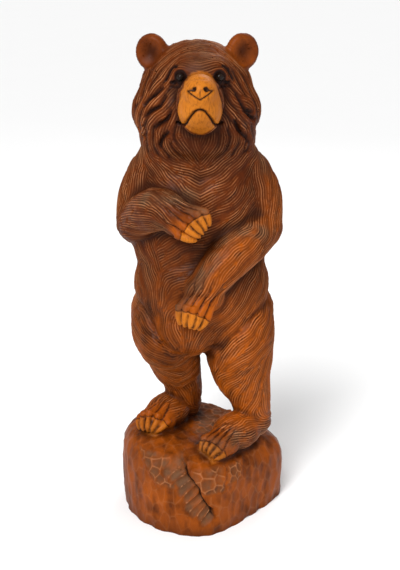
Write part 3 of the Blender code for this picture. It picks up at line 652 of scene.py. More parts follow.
def off_axis(offset, along):
    """How far ahead on an axis each offset lies, and how far aside from it."""
    ahead = offset @ along
    return ahead, np.linalg.norm(offset - ahead[:, None] * along, axis=1)


def finer(path, steps):
    """The same path with every stretch divided into steps."""
    return [mix(a, b, k / steps) for a, b in zip(path, path[1:]) for k in range(steps)] + [path[-1]]


def on_surface(path, steps=6):
    """A path laid on the surface: each point goes to the nearest spot of the skin."""
    return [tuple(rough_tree.find_nearest(Vector(spot))[0]) for spot in finer(path, steps)]


def from_front(path, steps=1, tree=rough_tree):
    """A path given by X and Z, laid on the first surface that is met from the front."""
    laid = []
    for x, z in finer(path, steps):
        spot = tree.ray_cast(Vector((x, -0.5, z)), Vector((0.0, 1.0, 0.0)))[0]
        if spot is not None:
            laid.append(tuple(spot))
    return laid


def near(points, path, reach):
    """Indices of the points inside a box about a path."""
    path = np.array(path)
    low, high = path.min(0) - reach, path.max(0) + reach
    return np.nonzero(np.all((points > low) & (points < high), axis=1))[0]


print("paths can be laid on the skin")

# %% Cuts and shares
def groove(path, width, depth, power=1.3, taper=True):
    """Depth of a V-shaped cut along a path."""
    height = np.zeros(len(skin.point))
    close = near(skin.point, path, width)
    gap, along = distance_to_path(skin.point[close], path)
    shape = np.clip(1.0 - gap / width, 0.0, 1.0) ** power
    if taper:
        shape = shape * np.clip(np.sin(np.pi * np.clip(along, 0.0, 1.0)), 0.0, 1.0) ** 0.4
    height[close] = -depth * shape
    return height


def bowl(middle, radius, depth):
    """Depth of a round hollow about a point of the surface."""
    gap = np.linalg.norm(skin.point - np.array(middle), axis=1)
    return -depth * np.clip(1.0 - (gap / radius) ** 2, 0.0, 1.0)


def band(value, low, high, soft):
    """One between low and high, falling to zero over a soft edge."""
    rise = np.clip((value - low) / soft + 0.5, 0.0, 1.0)
    fall = np.clip((high - value) / soft + 0.5, 0.0, 1.0)
    return rise * fall


def inside(points_xz, outline):
    """Whether points lie inside an outline, both given by X and Z."""
    x, z = points_xz.T
    found = np.zeros(len(x), dtype=bool)
    for (x1, z1), (x2, z2) in zip(outline, outline[1:] + outline[:1]):
        if z1 != z2:
            crosses = ((z1 > z) != (z2 > z)) & (x < (x2 - x1) * (z - z1) / (z2 - z1) + x1)
            found ^= crosses
    return found


def soft_share(mask, rounds):
    """A yes-or-no mask as a share from 0 to 1 with its border softened over the skin."""
    share = mask.astype(float)
    for _ in range(rounds):
        share = 0.5 * share + 0.5 * skin.mean(share)
    return share


print("grooves, bowls and bands can be cut")

# %% Marks for the stain
# Shares from 0 to 1 that the stain reads later. Some of them paint shade and highlights into the colour.
MARKS = ("cut", "wear", "patina", "gold", "soot", "amber", "comb", "grime")
marks = {name: np.zeros(len(skin.point)) for name in MARKS}


def add_mark(name, share):
    """Raise a mark to the given share, wherever that is higher."""
    marks[name] = np.maximum(marks[name], share)


print("marks for the stain:", sorted(marks))

# %% [markdown]
# ## Folds, fingers and toes
#
# Before the fur come the creases that part the masses, and the grooves that part the fingers and run
# back to the wrist.

# %% Folds
# Each fold: width, depth, then points near the surface
FOLDS = (
    (0.012, 0.008, (-0.134, -0.010, 0.488), (-0.100, -0.090, 0.430), (-0.066, -0.090, 0.385),
     (-0.030, -0.080, 0.365)),
    (0.014, 0.006, (0.130, -0.010, 0.470), (0.080, -0.090, 0.440), (0.030, -0.090, 0.390),
     (0.000, -0.080, 0.350)),
    (0.022, 0.0022, (-0.110, -0.050, 0.800), (-0.060, -0.080, 0.775), (-0.012, -0.092, 0.762),
     (0.040, -0.080, 0.772), (0.090, -0.050, 0.800)),
)


def carve_folds():
    """The creases between the belly, the thighs and the chin ruff."""
    height = np.zeros(len(skin.point))
    for width, depth, *fold in FOLDS:
        height += groove(on_surface(fold), width, depth)
    skin.push(height)


carve_folds()
print(len(FOLDS), "folds cut")

# %% Fingers, toes and nails
FINGER_CUT_WIDTH = 0.0036
FINGER_CUT_DEPTH = 0.0032
FINGER_CUT_NEAR = 0.25
FINGER_CUT_FAR = 0.60
CLAW_CUT_WIDTH = 0.62
CLAW_CUT_LIFT = 0.45
CLAW_CUT_DEPTH = 0.0012
NAIL_FOLD_START = -0.0026
NAIL_FOLD_END = -0.0004
NAIL_FOLD_EDGE = 0.0014
NAIL_FOLD_REACH = 1.5
NAIL_FOLD_DEPTH = 0.0013
CLAW_EDGE = 0.002
CLAW_CLEARANCE = 1.22
HANDS_ABOVE = ROCK_TOP + 0.1
HAND_CLAW_GOLD = 0.78
FOOT_CLAW_GOLD = 0.42


def part_fingers(height):
    """Cut grooves between the fingers and toes into the height, and finer ones between the claws."""
    for paw in PAWS:
        for index in range(CLAW_COUNT - 1):
            root = (claw_line(paw, index)[0] + claw_line(paw, index + 1)[0]) / 2.0
            path = [mix(root, paw.wrist, share) for share in (0.0, FINGER_CUT_NEAR, FINGER_CUT_FAR)]
            cut = groove(on_surface(path), FINGER_CUT_WIDTH, FINGER_CUT_DEPTH, 1.0)
            height += cut
            add_mark("cut", -cut / FINGER_CUT_DEPTH)
    for first, second in zip(claws, claws[1:]):
        if first.paw == second.paw:
            lift = (first.outward + second.outward) * first.radius * CLAW_CUT_LIFT
            ends = ((first.root, second.root), (first.tip, second.tip))
            path = [tuple((a + b) / 2.0 + lift) for a, b in ends]
            cut = groove(path, first.radius * CLAW_CUT_WIDTH, CLAW_CUT_DEPTH, 1.0, taper=False)
            height += cut
            add_mark("cut", -cut / CLAW_CUT_DEPTH)


def fold_nails(height):
    """Cut a fold behind every claw into the height, and mark the skin that is claw."""
    for _, root, tip, outward, radius in claws:
        along = np.array((tip - root).normalized())
        offset = skin.point - np.array(root)
        ahead, aside = off_axis(offset, along)
        fold = band(ahead, NAIL_FOLD_START, NAIL_FOLD_END, NAIL_FOLD_EDGE)
        fold = fold * (aside < radius * NAIL_FOLD_REACH)
        height -= NAIL_FOLD_DEPTH * fold
        add_mark("cut", 0.8 * fold)
        reach = (tip - root).length
        bow = CLAW_BOW * reach * np.sin(np.pi * np.clip(ahead / reach, 0.0, 1.0))
        ahead, aside = off_axis(offset - bow[:, None] * np.array(outward), along)
        claw_share = band(ahead, -CLAW_EDGE / 2.0, reach + CLAW_EDGE, CLAW_EDGE)
        claw_share *= np.clip(5.0 * (CLAW_CLEARANCE - aside / radius), 0.0, 1.0)
        claw_share *= HAND_CLAW_GOLD if root.z > HANDS_ABOVE else FOOT_CLAW_GOLD
        add_mark("gold", claw_share)


def carve_paws():
    """The fingers, toes and nails of all four paws in one cut."""
    height = np.zeros(len(skin.point))
    part_fingers(height)
    fold_nails(height)
    skin.push(height)


carve_paws()
print("fingers and toes parted")

# %% [markdown]
# ## The lie of the fur
#
# The fur is what makes this bear, and it is all direction: out from the parting on the brow, down and
# out over the cheeks, in chevrons down the chest, up and across the belly. Strokes drawn, as
# a carver pencils them on the wood, say which way the cuts run, and every point of the skin takes the
# mean of the strokes near it. Where no stroke is near, the fur runs along the limb or down the back.
# The directions are then swung in slow curls, and random values are drawn out along them into streaks,
# so that no two cuts take the stain alike.

# %% Pencilled strokes
# The strokes of the head are for its left half, measured out from the middle of the face, and up.
HEAD_STROKES = (
    ((0.004, 0.988), (0.030, 0.982), (0.060, 0.966), (0.090, 0.940), (0.110, 0.895), (0.118, 0.850)),
    ((0.006, 0.978), (0.030, 0.974), (0.055, 0.958), (0.075, 0.936), (0.092, 0.908), (0.106, 0.880)),
    ((0.006, 0.963), (0.021, 0.965), (0.036, 0.962), (0.047, 0.955), (0.060, 0.936), (0.070, 0.916)),
    ((0.006, 0.950), (0.018, 0.950), (0.030, 0.952)),
    ((0.052, 0.915), (0.070, 0.901), (0.090, 0.886), (0.104, 0.874), (0.112, 0.855)),
    ((0.042, 0.902), (0.062, 0.880), (0.084, 0.866), (0.100, 0.850), (0.106, 0.828)),
    ((0.046, 0.880), (0.060, 0.859), (0.078, 0.845), (0.088, 0.829), (0.090, 0.806)),
    ((0.048, 0.850), (0.062, 0.836), (0.072, 0.820), (0.069, 0.803), (0.056, 0.789)),
    ((0.046, 0.838), (0.047, 0.820), (0.038, 0.801), (0.024, 0.785), (0.010, 0.771)),
    ((0.014, 0.827), (0.013, 0.806), (0.008, 0.789)),
)
# All others: group, then points by X and Z as seen from the front.
BODY_STROKES = (
    ("trunk", (-0.096, 0.787), (-0.070, 0.776), (-0.038, 0.763), (-0.009, 0.754)),
    ("trunk", (-0.096, 0.754), (-0.070, 0.736), (-0.038, 0.716), (-0.009, 0.698)),
    ("trunk", (-0.112, 0.787), (-0.108, 0.765), (-0.092, 0.738), (-0.070, 0.720), (-0.046, 0.705)),
    ("trunk", (-0.022, 0.795), (-0.009, 0.776)),
    ("trunk", (0.006, 0.795), (-0.005, 0.776)),
    ("trunk", (-0.003, 0.736), (0.028, 0.749), (0.060, 0.765), (0.094, 0.780)),
    ("trunk", (-0.003, 0.698), (0.028, 0.714), (0.050, 0.727), (0.072, 0.747), (0.094, 0.770)),
    ("trunk", (0.019, 0.673), (0.050, 0.687), (0.072, 0.703), (0.082, 0.725), (0.089, 0.754),
     (0.100, 0.775)),
    ("trunk", (0.041, 0.657), (0.072, 0.675), (0.093, 0.698), (0.100, 0.731), (0.111, 0.765)),
    ("left_arm", (0.122, 0.664), (0.128, 0.698), (0.124, 0.743), (0.106, 0.780)),
    ("left_arm", (0.112, 0.655), (0.115, 0.690), (0.112, 0.735)),
    ("right_arm", (-0.131, 0.774), (-0.138, 0.743), (-0.144, 0.705)),
    ("right_arm", (-0.112, 0.754), (-0.124, 0.726), (-0.129, 0.708)),
    ("right_arm", (-0.124, 0.702), (-0.102, 0.708), (-0.080, 0.703), (-0.059, 0.690), (-0.036, 0.676)),
    ("right_arm", (-0.140, 0.676), (-0.114, 0.687), (-0.096, 0.686), (-0.074, 0.673), (-0.054, 0.656)),
    ("right_arm", (-0.142, 0.653), (-0.114, 0.655), (-0.080, 0.650)),
    ("right_arm", (-0.140, 0.632), (-0.112, 0.634), (-0.080, 0.640)),
    ("trunk", (-0.083, 0.524), (-0.072, 0.541), (-0.050, 0.553), (-0.027, 0.560), (-0.010, 0.565)),
    ("trunk", (-0.083, 0.481), (-0.072, 0.505), (-0.050, 0.519), (-0.029, 0.529)),
    ("trunk", (-0.076, 0.452), (-0.067, 0.476), (-0.052, 0.493)),
    ("trunk", (-0.072, 0.586), (-0.050, 0.603), (-0.027, 0.607)),
    ("trunk", (-0.034, 0.398), (-0.025, 0.424)),
    ("trunk", (-0.112, 0.588), (-0.099, 0.553), (-0.087, 0.517), (-0.084, 0.481), (-0.076, 0.437),
     (-0.052, 0.405)),
    ("trunk", (-0.121, 0.553), (-0.112, 0.517), (-0.101, 0.476)),
    ("trunk", (0.112, 0.565), (0.103, 0.534), (0.085, 0.505), (0.062, 0.470), (0.029, 0.445)),
    ("left_leg", (0.125, 0.540), (0.119, 0.505), (0.107, 0.470), (0.085, 0.437), (0.058, 0.407),
     (0.038, 0.378)),
    ("left_leg", (0.134, 0.481), (0.127, 0.445), (0.107, 0.412), (0.078, 0.386), (0.051, 0.357)),
    ("left_leg", (0.130, 0.382), (0.107, 0.363), (0.078, 0.337), (0.055, 0.312)),
    ("left_leg", (0.118, 0.333), (0.100, 0.294), (0.085, 0.255)),
    ("right_leg", (-0.128, 0.440), (-0.106, 0.417), (-0.072, 0.398), (-0.038, 0.387)),
    ("right_leg", (-0.121, 0.392), (-0.094, 0.375), (-0.061, 0.367), (-0.027, 0.377)),
    ("right_leg", (-0.099, 0.350), (-0.072, 0.335), (-0.038, 0.338), (-0.012, 0.357)),
    ("right_leg", (-0.076, 0.322), (-0.047, 0.307), (-0.016, 0.322)),
)


def laid_strokes():
    """Every stroke with its group and its side of the parting, laid on the rough form."""
    laid = []
    for stroke in HEAD_STROKES:
        for side in (-1.0, 1.0):
            path = [(FACE_X + side * u, z) for u, z in stroke]
            laid.append(("head", side, from_front(path, 3)))
    for stroke in BODY_STROKES:
        middle = sum(x for x, _ in stroke[1:]) / (len(stroke) - 1)
        laid.append((stroke[0], math.copysign(1.0, middle - FACE_X), from_front(stroke[1:], 3)))
    return [row for row in laid if len(row[2]) > 1]


strokes = laid_strokes()
print(len(strokes), "strokes pencilled")

# %% How far each part is
GROUPS = ("head", "trunk", "right_arm", "left_arm", "right_leg", "left_leg")
FACE_FAN = (FACE_X, -0.060, 0.925)
FACE_FAN_FALL = (0.0, 0.0, -0.35)


def part_gaps(points):
    """Group, distance outside it and lie of the fur, for each mass and limb."""
    for _, group, middle, size, turn, lie in BODY_MASSES + CRISP_MASSES:
        angle = math.radians(-turn)
        c, s = math.cos(angle), math.sin(angle)
        local = points - np.array(middle)
        x = local[:, 0] * c - local[:, 1] * s
        y = local[:, 0] * s + local[:, 1] * c
        q = np.sqrt((x / size[0]) ** 2 + (y / size[1]) ** 2 + (local[:, 2] / size[2]) ** 2)
        if lie == "face":
            line = points - np.array(FACE_FAN)
            line = line + np.array(FACE_FAN_FALL) * np.linalg.norm(line, axis=1)[:, None]
        else:
            line = np.tile(np.array(lie, dtype=float), (len(points), 1))
        yield group, (q - 1.0) * min(size), line
    for _, group, stations in LIMBS + CRISP_LIMBS:
        path = np.array([s[:3] for s in stations])
        radii = np.array([s[3] for s in stations])
        gap, along = distance_to_path(points, path)
        place = along * (len(stations) - 1)
        radius = np.interp(place, np.arange(len(stations)), radii)
        heading = np.diff(path, axis=0)
        yield group, gap - radius, heading[np.clip(place.astype(int), 0, len(heading) - 1)]


print(len(GROUPS), "groups of fur")

# %% Direction of the fur
STROKE_REACH = 0.020
FORM_WEIGHT = 0.02
FORM_REACH = 0.010
PARTING_TOP = 0.690
PARTING_WIDTH = 0.006


def read_lie(surface, rounds):
    """Direction of the fur and the group of every point, and its distance outside the figure."""
    count = len(surface.point)
    tensor = np.zeros((count, 3, 3))
    nearest = np.full(count, 1e9)
    group_at = np.zeros(count, dtype=int)
    flow = np.zeros((count, 3))

    def add(rows, line, weight):
        line = line - surface.normal[rows] * np.sum(line * surface.normal[rows], axis=1)[:, None]
        line /= np.linalg.norm(line, axis=1)[:, None] + 1e-9
        tensor[rows] += weight[:, None, None] * line[:, :, None] * line[:, None, :]
        flow[rows] += weight[:, None] * line

    everywhere = np.arange(count)
    for group, gap, line in part_gaps(surface.point):
        nearer = gap < nearest
        nearest[nearer] = gap[nearer]
        group_at[nearer] = GROUPS.index(group)
        add(everywhere, line, FORM_WEIGHT * np.exp(-np.clip(gap, -0.01, 0.2) / FORM_REACH))
    side_at = np.sign(surface.point[:, 0] - FACE_X)
    parted = (surface.point[:, 2] > PARTING_TOP) & (surface.point[:, 1] < 0.0)
    for group, side, path in strokes:
        close = near(surface.point, path, 2.6 * STROKE_REACH)
        allowed = (group_at[close] == GROUPS.index(group)) & ((side_at[close] == side) | ~parted[close])
        close = close[allowed]
        gap, along = distance_to_path(surface.point[close], path)
        heading = np.diff(np.array(path), axis=0)
        line = heading[np.clip((along * len(heading)).astype(int), 0, len(heading) - 1)]
        add(close, line, np.exp(-(gap / STROKE_REACH) ** 2))
    total = np.trace(tensor, axis1=1, axis2=2)
    tensor /= total[:, None, None] + 1e-9
    across_parting = parted & (np.abs(surface.point[:, 0] - FACE_X) < PARTING_WIDTH)
    for _ in range(rounds):
        softened = 0.4 * tensor + 0.6 * surface.mean(tensor)
        tensor = np.where(across_parting[:, None, None], tensor, softened)
        flow = np.where(across_parting[:, None], flow, 0.4 * flow + 0.6 * surface.mean(flow))
    upright = np.eye(3) - surface.normal[:, :, None] * surface.normal[:, None, :]
    tensor = upright @ tensor @ upright
    _, axes = np.linalg.eigh(tensor)
    line = axes[:, :, 2]
    return np.where(np.sum(line * flow, axis=1)[:, None] < 0.0, -line, line), group_at, nearest


line, group_at, outside = read_lie(skin, 10)
# Rock is whatever lies low down and outside all the masses and limbs
ROCK_GAP = 0.003
ANKLES = ROCK_TOP + 0.045
on_rock = np.clip((outside - ROCK_GAP) / ROCK_GAP, 0.0, 1.0) * (skin.point[:, 2] < ANKLES)
print("fur lies on", int((on_rock < 0.5).sum()), "points")

# %% Curls and streaks
CURL_SWING = math.radians(16.0)
CURL_LENGTH = 0.070
STREAK_SEED = 5
STREAK_ROUNDS = 30
CLUMP_ROUNDS = 8


def waved(surface, line):
    """The same directions, swung to and fro in slow waves, as hair lies in curls."""
    x, y, z = surface.point.T * (math.tau / CURL_LENGTH)
    swing = np.sin(x * 0.9 + 1.7 * np.sin(z * 0.45)) * np.cos(z * 0.8 + y * 0.7 + 0.6)
    swing = CURL_SWING * swing[:, None]
    across = np.cross(surface.normal, line)
    return line * np.cos(swing) + across * np.sin(swing)


def combed(surface, line):
    """Random values drawn out along the fur into streaks, about zero and mostly within one."""
    corners = np.empty(len(surface.mesh.loops), dtype=np.int64)
    surface.mesh.loops.foreach_get("vertex_index", corners)
    quads = corners.reshape(-1, 4)
    links = np.concatenate((surface.edge, quads[:, (0, 2)], quads[:, (1, 3)]))
    a, b = links.T
    step = surface.point[b] - surface.point[a]
    step /= np.linalg.norm(step, axis=1)[:, None] + 1e-9
    weight = np.abs(np.sum(step * line[a], axis=1)) * np.abs(np.sum(step * line[b], axis=1))
    weight = weight ** 5 + 1e-6
    count = len(line)
    total = np.bincount(a, weight, count) + np.bincount(b, weight, count)
    value = np.random.default_rng(STREAK_SEED).normal(size=count)
    for _ in range(STREAK_ROUNDS):
        drawn = np.bincount(a, weight * value[b], count) + np.bincount(b, weight * value[a], count)
        value = drawn / total
    return value / (2.0 * value.std())


line = waved(skin, line)
streaks = combed(skin, line)
marks["comb"] = 0.5 + 0.5 * streaks
clumps = skin.soften(streaks, CLUMP_ROUNDS)
clumps = clumps / (2.0 * clumps.std())
print("curls", CURL_LENGTH, "m long")

# %% [markdown]
# ## V-tool cuts
#
# Parallel cuts on a curved body can't be a flat pattern: they have to spread, merge and stop as the
# body swells. So the cuts are grown. Each point holds an angle that should advance by one full turn
# for every cut it crosses, and it keeps asking its neighbours what their angle says about its own.
# After some rounds they agree over long stretches, and where they can't, a cut ends, as a real one
# does. A coarse skin settles the large picture first, and the fine one only tidies it. It is done
# once for the wide locks and once for the fine hair lines, which so run parallel to each other.

# %% Cuts that agree with their neighbours
class Weave:
    """The neighbours' bookkeeping for growing cuts on one skin."""

    def __init__(self, surface, line):
        self.surface = surface
        self.across = np.cross(surface.normal, line)
        a, b = surface.edge.T
        self.same = np.sign(np.sum(self.across[a] * self.across[b], axis=1))
        self.same[self.same == 0.0] = 1.0
        step = surface.point[b] - surface.point[a]
        mean_across = 0.5 * (self.across[a] + self.same[:, None] * self.across[b])
        self.shift = np.sum(step * mean_across, axis=1)

    def settle(self, wave, pitch, rounds):
        """Let every point agree with its neighbours, round after round, and keep how well it does."""
        a, b = self.surface.edge.T
        count = len(wave)
        turn = math.tau * self.shift / pitch
        to_a = np.exp(-1j * turn)
        to_b = np.exp(1j * turn * self.same)
        flipped = self.same < 0.0
        for _ in range(rounds):
            from_b = np.where(flipped, np.conj(wave[b]), wave[b]) * to_a
            from_a = np.where(flipped, np.conj(wave[a]), wave[a]) * to_b
            real = np.bincount(a, from_b.real, count) + np.bincount(b, from_a.real, count)
            imag = np.bincount(a, from_b.imag, count) + np.bincount(b, from_a.imag, count)
            wave = real + 1j * imag
            self.agreed = np.abs(wave) / self.surface.share
            wave /= np.abs(wave) + 1e-9
        return wave


def handed_down(coarse, wave, fine, pitch, home):
    """The coarse skin's angles carried to the fine one, point by nearest point."""
    same = np.sum(coarse.across[home] * fine.across, axis=1) >= 0.0
    step = np.sum((fine.surface.point - coarse.surface.point[home]) * fine.across, axis=1)
    given = np.where(same, wave[home], np.conj(wave[home]))
    return given * np.exp(1j * math.tau * step / pitch)


print("cuts can be grown")

# %% Coarse and fine skin
COARSE_VOXEL = 0.0055


def nearest_points(source, target):
    """For every target point, the index of the nearest source point."""
    finder = KDTree(len(source))
    for index, spot in enumerate(source):
        finder.insert(spot, index)
    finder.balance()
    return np.array([finder.find(spot)[1] for spot in target])


coarse_form = bpy.data.objects.new("coarse", fine_form.data.copy())
bpy.context.scene.collection.objects.link(coarse_form)
coarse_skin = Skin(skinned([coarse_form], COARSE_VOXEL, 1))
coarse_line, _, _ = read_lie(coarse_skin, 3)
coarse_weave = Weave(coarse_skin, waved(coarse_skin, coarse_line))
fine_weave = Weave(skin, line)
home = nearest_points(coarse_skin.point, skin.point)
print("coarse skin:", len(coarse_skin.point), "points")

# %% [markdown]
# ## Hollows with painted shade
#
# Shade is painted into the hollows between the masses: the colour there is darkened as if less light
# reached it. A hollow is where the skin lies below the mean of its wide surroundings, which the coarse skin
# tells at once.

# %% Hollows
HOLLOW_ROUNDS = 20
SHALLOW = 0.0004
HOLLOW_RANGE = 0.0028


def hollows(surface):
    """How far each point lies below its wide surroundings."""
    wide = surface.soften(surface.point, HOLLOW_ROUNDS)
    return np.sum((wide - surface.point) * surface.normal, axis=1)


# Painted shade: the colour darkens in the hollows
hollow_shade = np.clip((hollows(coarse_skin)[home] - SHALLOW) / HOLLOW_RANGE, 0.0, 1.0)
marks["grime"] = skin.soften(hollow_shade, 8)
print("hollows:", int((marks["grime"] > 0.5).sum()), "points")

# %% Cuts at two sizes
SEED = 7
LOCK_PITCH = 0.021
HAIR_PITCH = 0.0050
COARSE_ROUNDS = 400
FINE_LOCK_ROUNDS = 20
FINE_HAIR_ROUNDS = 50
WELL_AGREED = 0.94


def grown(pitch, fine_rounds):
    """Angles of one family of cuts on the fine skin."""
    draw = np.random.default_rng(SEED)
    start = np.exp(1j * draw.uniform(0.0, math.tau, len(coarse_skin.point)))
    wave = coarse_weave.settle(start, pitch, COARSE_ROUNDS)
    wave = handed_down(coarse_weave, wave, fine_weave, pitch, home)
    return fine_weave.settle(wave, pitch, fine_rounds)


locks = grown(LOCK_PITCH, FINE_LOCK_ROUNDS)
hairs = grown(HAIR_PITCH, FINE_HAIR_ROUNDS)
hair_agreed = soft_share(fine_weave.agreed > WELL_AGREED, 3)
print("locks every", LOCK_PITCH, "m and hairs every", HAIR_PITCH, "m")

# %% [markdown]
# ## Where there is fur, and how deep
#
# The muzzle, the claws, the palms and the cups of the ears are left smooth, and the rock has tool
# marks of its own. Everywhere else there is fur, and its locks are deepest on the cheeks.

# %% Smooth places
# Half of the smooth muzzle and jaw, measured out from the middle of the face, and up
MUZZLE_HALF = ((0.000, 0.9440), (0.016, 0.9390), (0.027, 0.9270), (0.034, 0.9100), (0.040, 0.8900),
               (0.042, 0.8700), (0.039, 0.8520), (0.029, 0.8480), (0.016, 0.8370), (0.000, 0.8280))
LIP_HALF = ((0.000, 0.8830), (0.005, 0.8822), (0.011, 0.8790), (0.018, 0.8705),
            (0.0245, 0.8600), (0.028, 0.8510))
MOUTH_CORNER = ((0.031, 0.8468), (0.036, 0.8452), (0.042, 0.8462))
JAW_SET_BACK = 0.0026
FACE_FRONT = -0.075
EYE_HEIGHT = 0.930
EYE_SPACING = 0.072
LID_REACH = 0.0095
HAND_REACH = 0.020
JAW_SHADE = 0.22


def both_halves(half):
    """A closed outline of the face from its left half."""
    return [(FACE_X + u, z) for u, z in half] + [(FACE_X - u, z) for u, z in half[-2:0:-1]]


def across_face(half):
    """A path from one side of the face to the other, from its left half."""
    return [(FACE_X - u, z) for u, z in half[:0:-1]] + [(FACE_X + u, z) for u, z in half]


MUZZLE_OUTLINE = both_halves(MUZZLE_HALF)
JAW_OUTLINE = both_halves(LIP_HALF + MUZZLE_HALF[-2:])


def front_share(outline):
    """Share of an area of the face that is outlined from the front."""
    mask = inside(skin.point[:, (0, 2)], outline) & (skin.point[:, 1] < FACE_FRONT)
    return soft_share(mask, 2)


def spot_share(spots, reach):
    """Share of the places about some spots, full near them and gone at twice the reach."""
    share = np.zeros(len(skin.point))
    for spot in spots:
        gap = np.linalg.norm(skin.point - np.array(spot), axis=1)
        share = np.maximum(share, np.clip(2.0 - gap / reach, 0.0, 1.0))
    return share


def ear_cup_share():
    """Share of the hollow inside the ears."""
    share = np.zeros(len(skin.point))
    for _, middle, turn in EARS:
        angle = math.radians(turn)
        facing = np.array((math.sin(angle), -math.cos(angle), 0.0))
        depth, side = off_axis(skin.point - np.array(middle), facing)
        share = np.maximum(share, np.clip(1.0 - (side / EAR_CUP) ** 2, 0.0, 1.0) * (depth > -0.002))
    return share


muzzle_share = front_share(MUZZLE_OUTLINE)
jaw_share = front_share(JAW_OUTLINE)
cup_share = ear_cup_share()
eye_seats = from_front([(FACE_X + side * EYE_SPACING / 2.0, EYE_HEIGHT) for side in (-1.0, 1.0)])
lid_share = spot_share(eye_seats, LID_REACH)
knuckles = [claw_line(paw, index)[0] for paw in PAWS for index in range(CLAW_COUNT)]
hand_share = spot_share(knuckles, HAND_REACH)
on_bear = 1.0 - on_rock
add_mark("gold", muzzle_share * (1.0 - JAW_SHADE * jaw_share))
print("smooth muzzle:", int((muzzle_share > 0.5).sum()), "points")

# %% [markdown]
# ## Gaps in the cheeks
#
# On each cheek the carver has sunk a few long gaps between the locks, so deep that they look black,
# and that black is painted into them as shade. They are grooves with smooth walls, cut before the hair
# lines, which then stop at their edges.

# %% Gaps between the locks
# Each gap by X and Z, as seen from the front
CHEEK_SLITS = (
    ((-0.073, 0.911), (-0.090, 0.896), (-0.105, 0.885), (-0.115, 0.872)),
    ((-0.069, 0.896), (-0.082, 0.876), (-0.101, 0.865), (-0.114, 0.850)),
    ((-0.059, 0.872), (-0.069, 0.852), (-0.084, 0.841), (-0.094, 0.830)),
    ((-0.064, 0.830), (-0.077, 0.817), (-0.085, 0.800), (-0.081, 0.790)),
    ((0.058, 0.852), (0.067, 0.830), (0.084, 0.808)),
    ((0.073, 0.870), (0.090, 0.852), (0.100, 0.843)),
    ((0.060, 0.898), (0.079, 0.866), (0.096, 0.858)),
)
SLIT_WIDTH = 0.0078
SLIT_DEPTH = 0.0080


def carve_slits():
    """Cut the deep smooth gaps, and return the share of the cheeks that they take up."""
    height = np.zeros(len(skin.point))
    taken = np.zeros(len(skin.point))
    for slit in CHEEK_SLITS:
        path = from_front(slit, 4)
        height = np.minimum(height, groove(path, SLIT_WIDTH, SLIT_DEPTH, power=1.5))
        taken = np.maximum(taken, -groove(path, 2.4 * SLIT_WIDTH, 1.0, power=0.5))
    skin.push(height)
    # Painted shade: the gaps are coloured near black
    add_mark("soot", 0.95 * (-height / SLIT_DEPTH) ** 0.5)
    return taken


slit_share = carve_slits()
print(len(CHEEK_SLITS), "gaps cut")

# %% [markdown]
# ## Points that lie on the cuts
#
# The skin's points lie on a grid that knows nothing of the cuts, so crests cut into it would come out
# beaded. Each point near the bottom or the crest of a hair cut is first slid sideways onto it.

# %% Slide the points onto the cuts
SLID_FULLY = 0.45 * FINE_VOXEL
LEFT_ALONE = 0.73 * FINE_VOXEL


def slid(offset):
    """How far a point is moved towards a line that lies this far from it, all the way if near."""
    return offset * np.clip((LEFT_ALONE - np.abs(offset)) / (LEFT_ALONE - SLID_FULLY), 0.0, 1.0)


def slid_onto_cuts(wave, share):
    """Move points sideways onto the nearest bottom or crest, and their angles with them."""
    angle = np.angle(wave)
    nearest = np.round(angle / math.pi) * math.pi
    step = slid((nearest - angle) / math.tau * HAIR_PITCH) * share
    skin.place(skin.point + fine_weave.across * step[:, None])
    return wave * np.exp(1j * math.tau * step / HAIR_PITCH)


hairs = slid_onto_cuts(hairs, on_bear * (muzzle_share < 0.5) * hair_agreed)
print("points slid onto the cuts")

# %% [markdown]
# ## Two sizes of fur
#
# The wide locks come first and the fine hair lines run over them, as on the real bear. A lock is a
# round swell between two sharp cuts, and a hair line is an even V. How deep each cut went is kept as
# a mark, because the stain stands dark in the cuts and wears off the crests. The cuts between the
# locks are also painted darker as shade, and the crests take a painted highlight as well as their wear.

# %% Fur depth
HAIR_DEPTH = 0.0021
LOCK_DEPTH = 0.0036
LOCK_ON_BODY = 0.55
LOCK_ON_CHEEKS = 0.8
EAR_REACH = 0.040


def edge_share(wave, power):
    """One where the angle is zero, falling off steeply to both sides and zero half way round."""
    return 1.0 - np.abs(np.angle(wave) / np.pi) ** power


def carve_fur():
    """Locks first, then the hair lines on them."""
    smooth = muzzle_share + marks["gold"] + lid_share + 0.75 * hand_share + (cup_share > 0.02)
    smooth = np.clip(smooth, 0.0, 1.0)
    x, _, z = skin.point.T
    ears = np.zeros(len(skin.point))
    for _, middle, _ in EARS:
        ears = np.maximum(ears, np.linalg.norm(skin.point - np.array(middle), axis=1) < EAR_REACH)
    fur = on_bear * (1.0 - smooth)
    head = (group_at == GROUPS.index("head")).astype(float)
    cheeks = head * band(z, 0.77, 0.935, 0.03) * np.clip((np.abs(x - FACE_X) - 0.030) / 0.02, 0.0, 1.0)
    lock_depth = LOCK_DEPTH * (LOCK_ON_BODY + LOCK_ON_CHEEKS * cheeks) * fur
    lock_depth = lock_depth * (1.0 - ears) * (1.0 - 0.85 * slit_share)
    hair_depth = HAIR_DEPTH * fur * (1.0 - 0.6 * ears) * (1.0 - marks["soot"])
    hair_depth *= np.clip(0.95 + 0.15 * clumps, 0.6, 1.3) * hair_agreed
    lock_depth, hair_depth = skin.soften(lock_depth, 2), skin.soften(hair_depth, 2)
    lock_cut = edge_share(locks, 0.75)
    crest = edge_share(hairs, 1.0)
    skin.push(lock_depth * (0.4 - lock_cut) + hair_depth * (crest - 0.45))
    haired = np.clip(hair_depth / HAIR_DEPTH, 0.0, 1.0)
    channel = np.clip((1.0 - crest) * (0.60 + 0.30 * streaks), 0.0, 1.0)
    add_mark("cut", channel * haired)
    # Painted shade: the cuts between the locks are marked darker
    add_mark("cut", lock_cut ** 1.5 * np.clip(lock_depth / LOCK_DEPTH, 0.0, 1.2))
    # Painted highlight and wear: the crests are marked paler
    marks["wear"] = np.clip(crest * haired, 0.0, 1.0)


carve_fur()
print("fur carved")
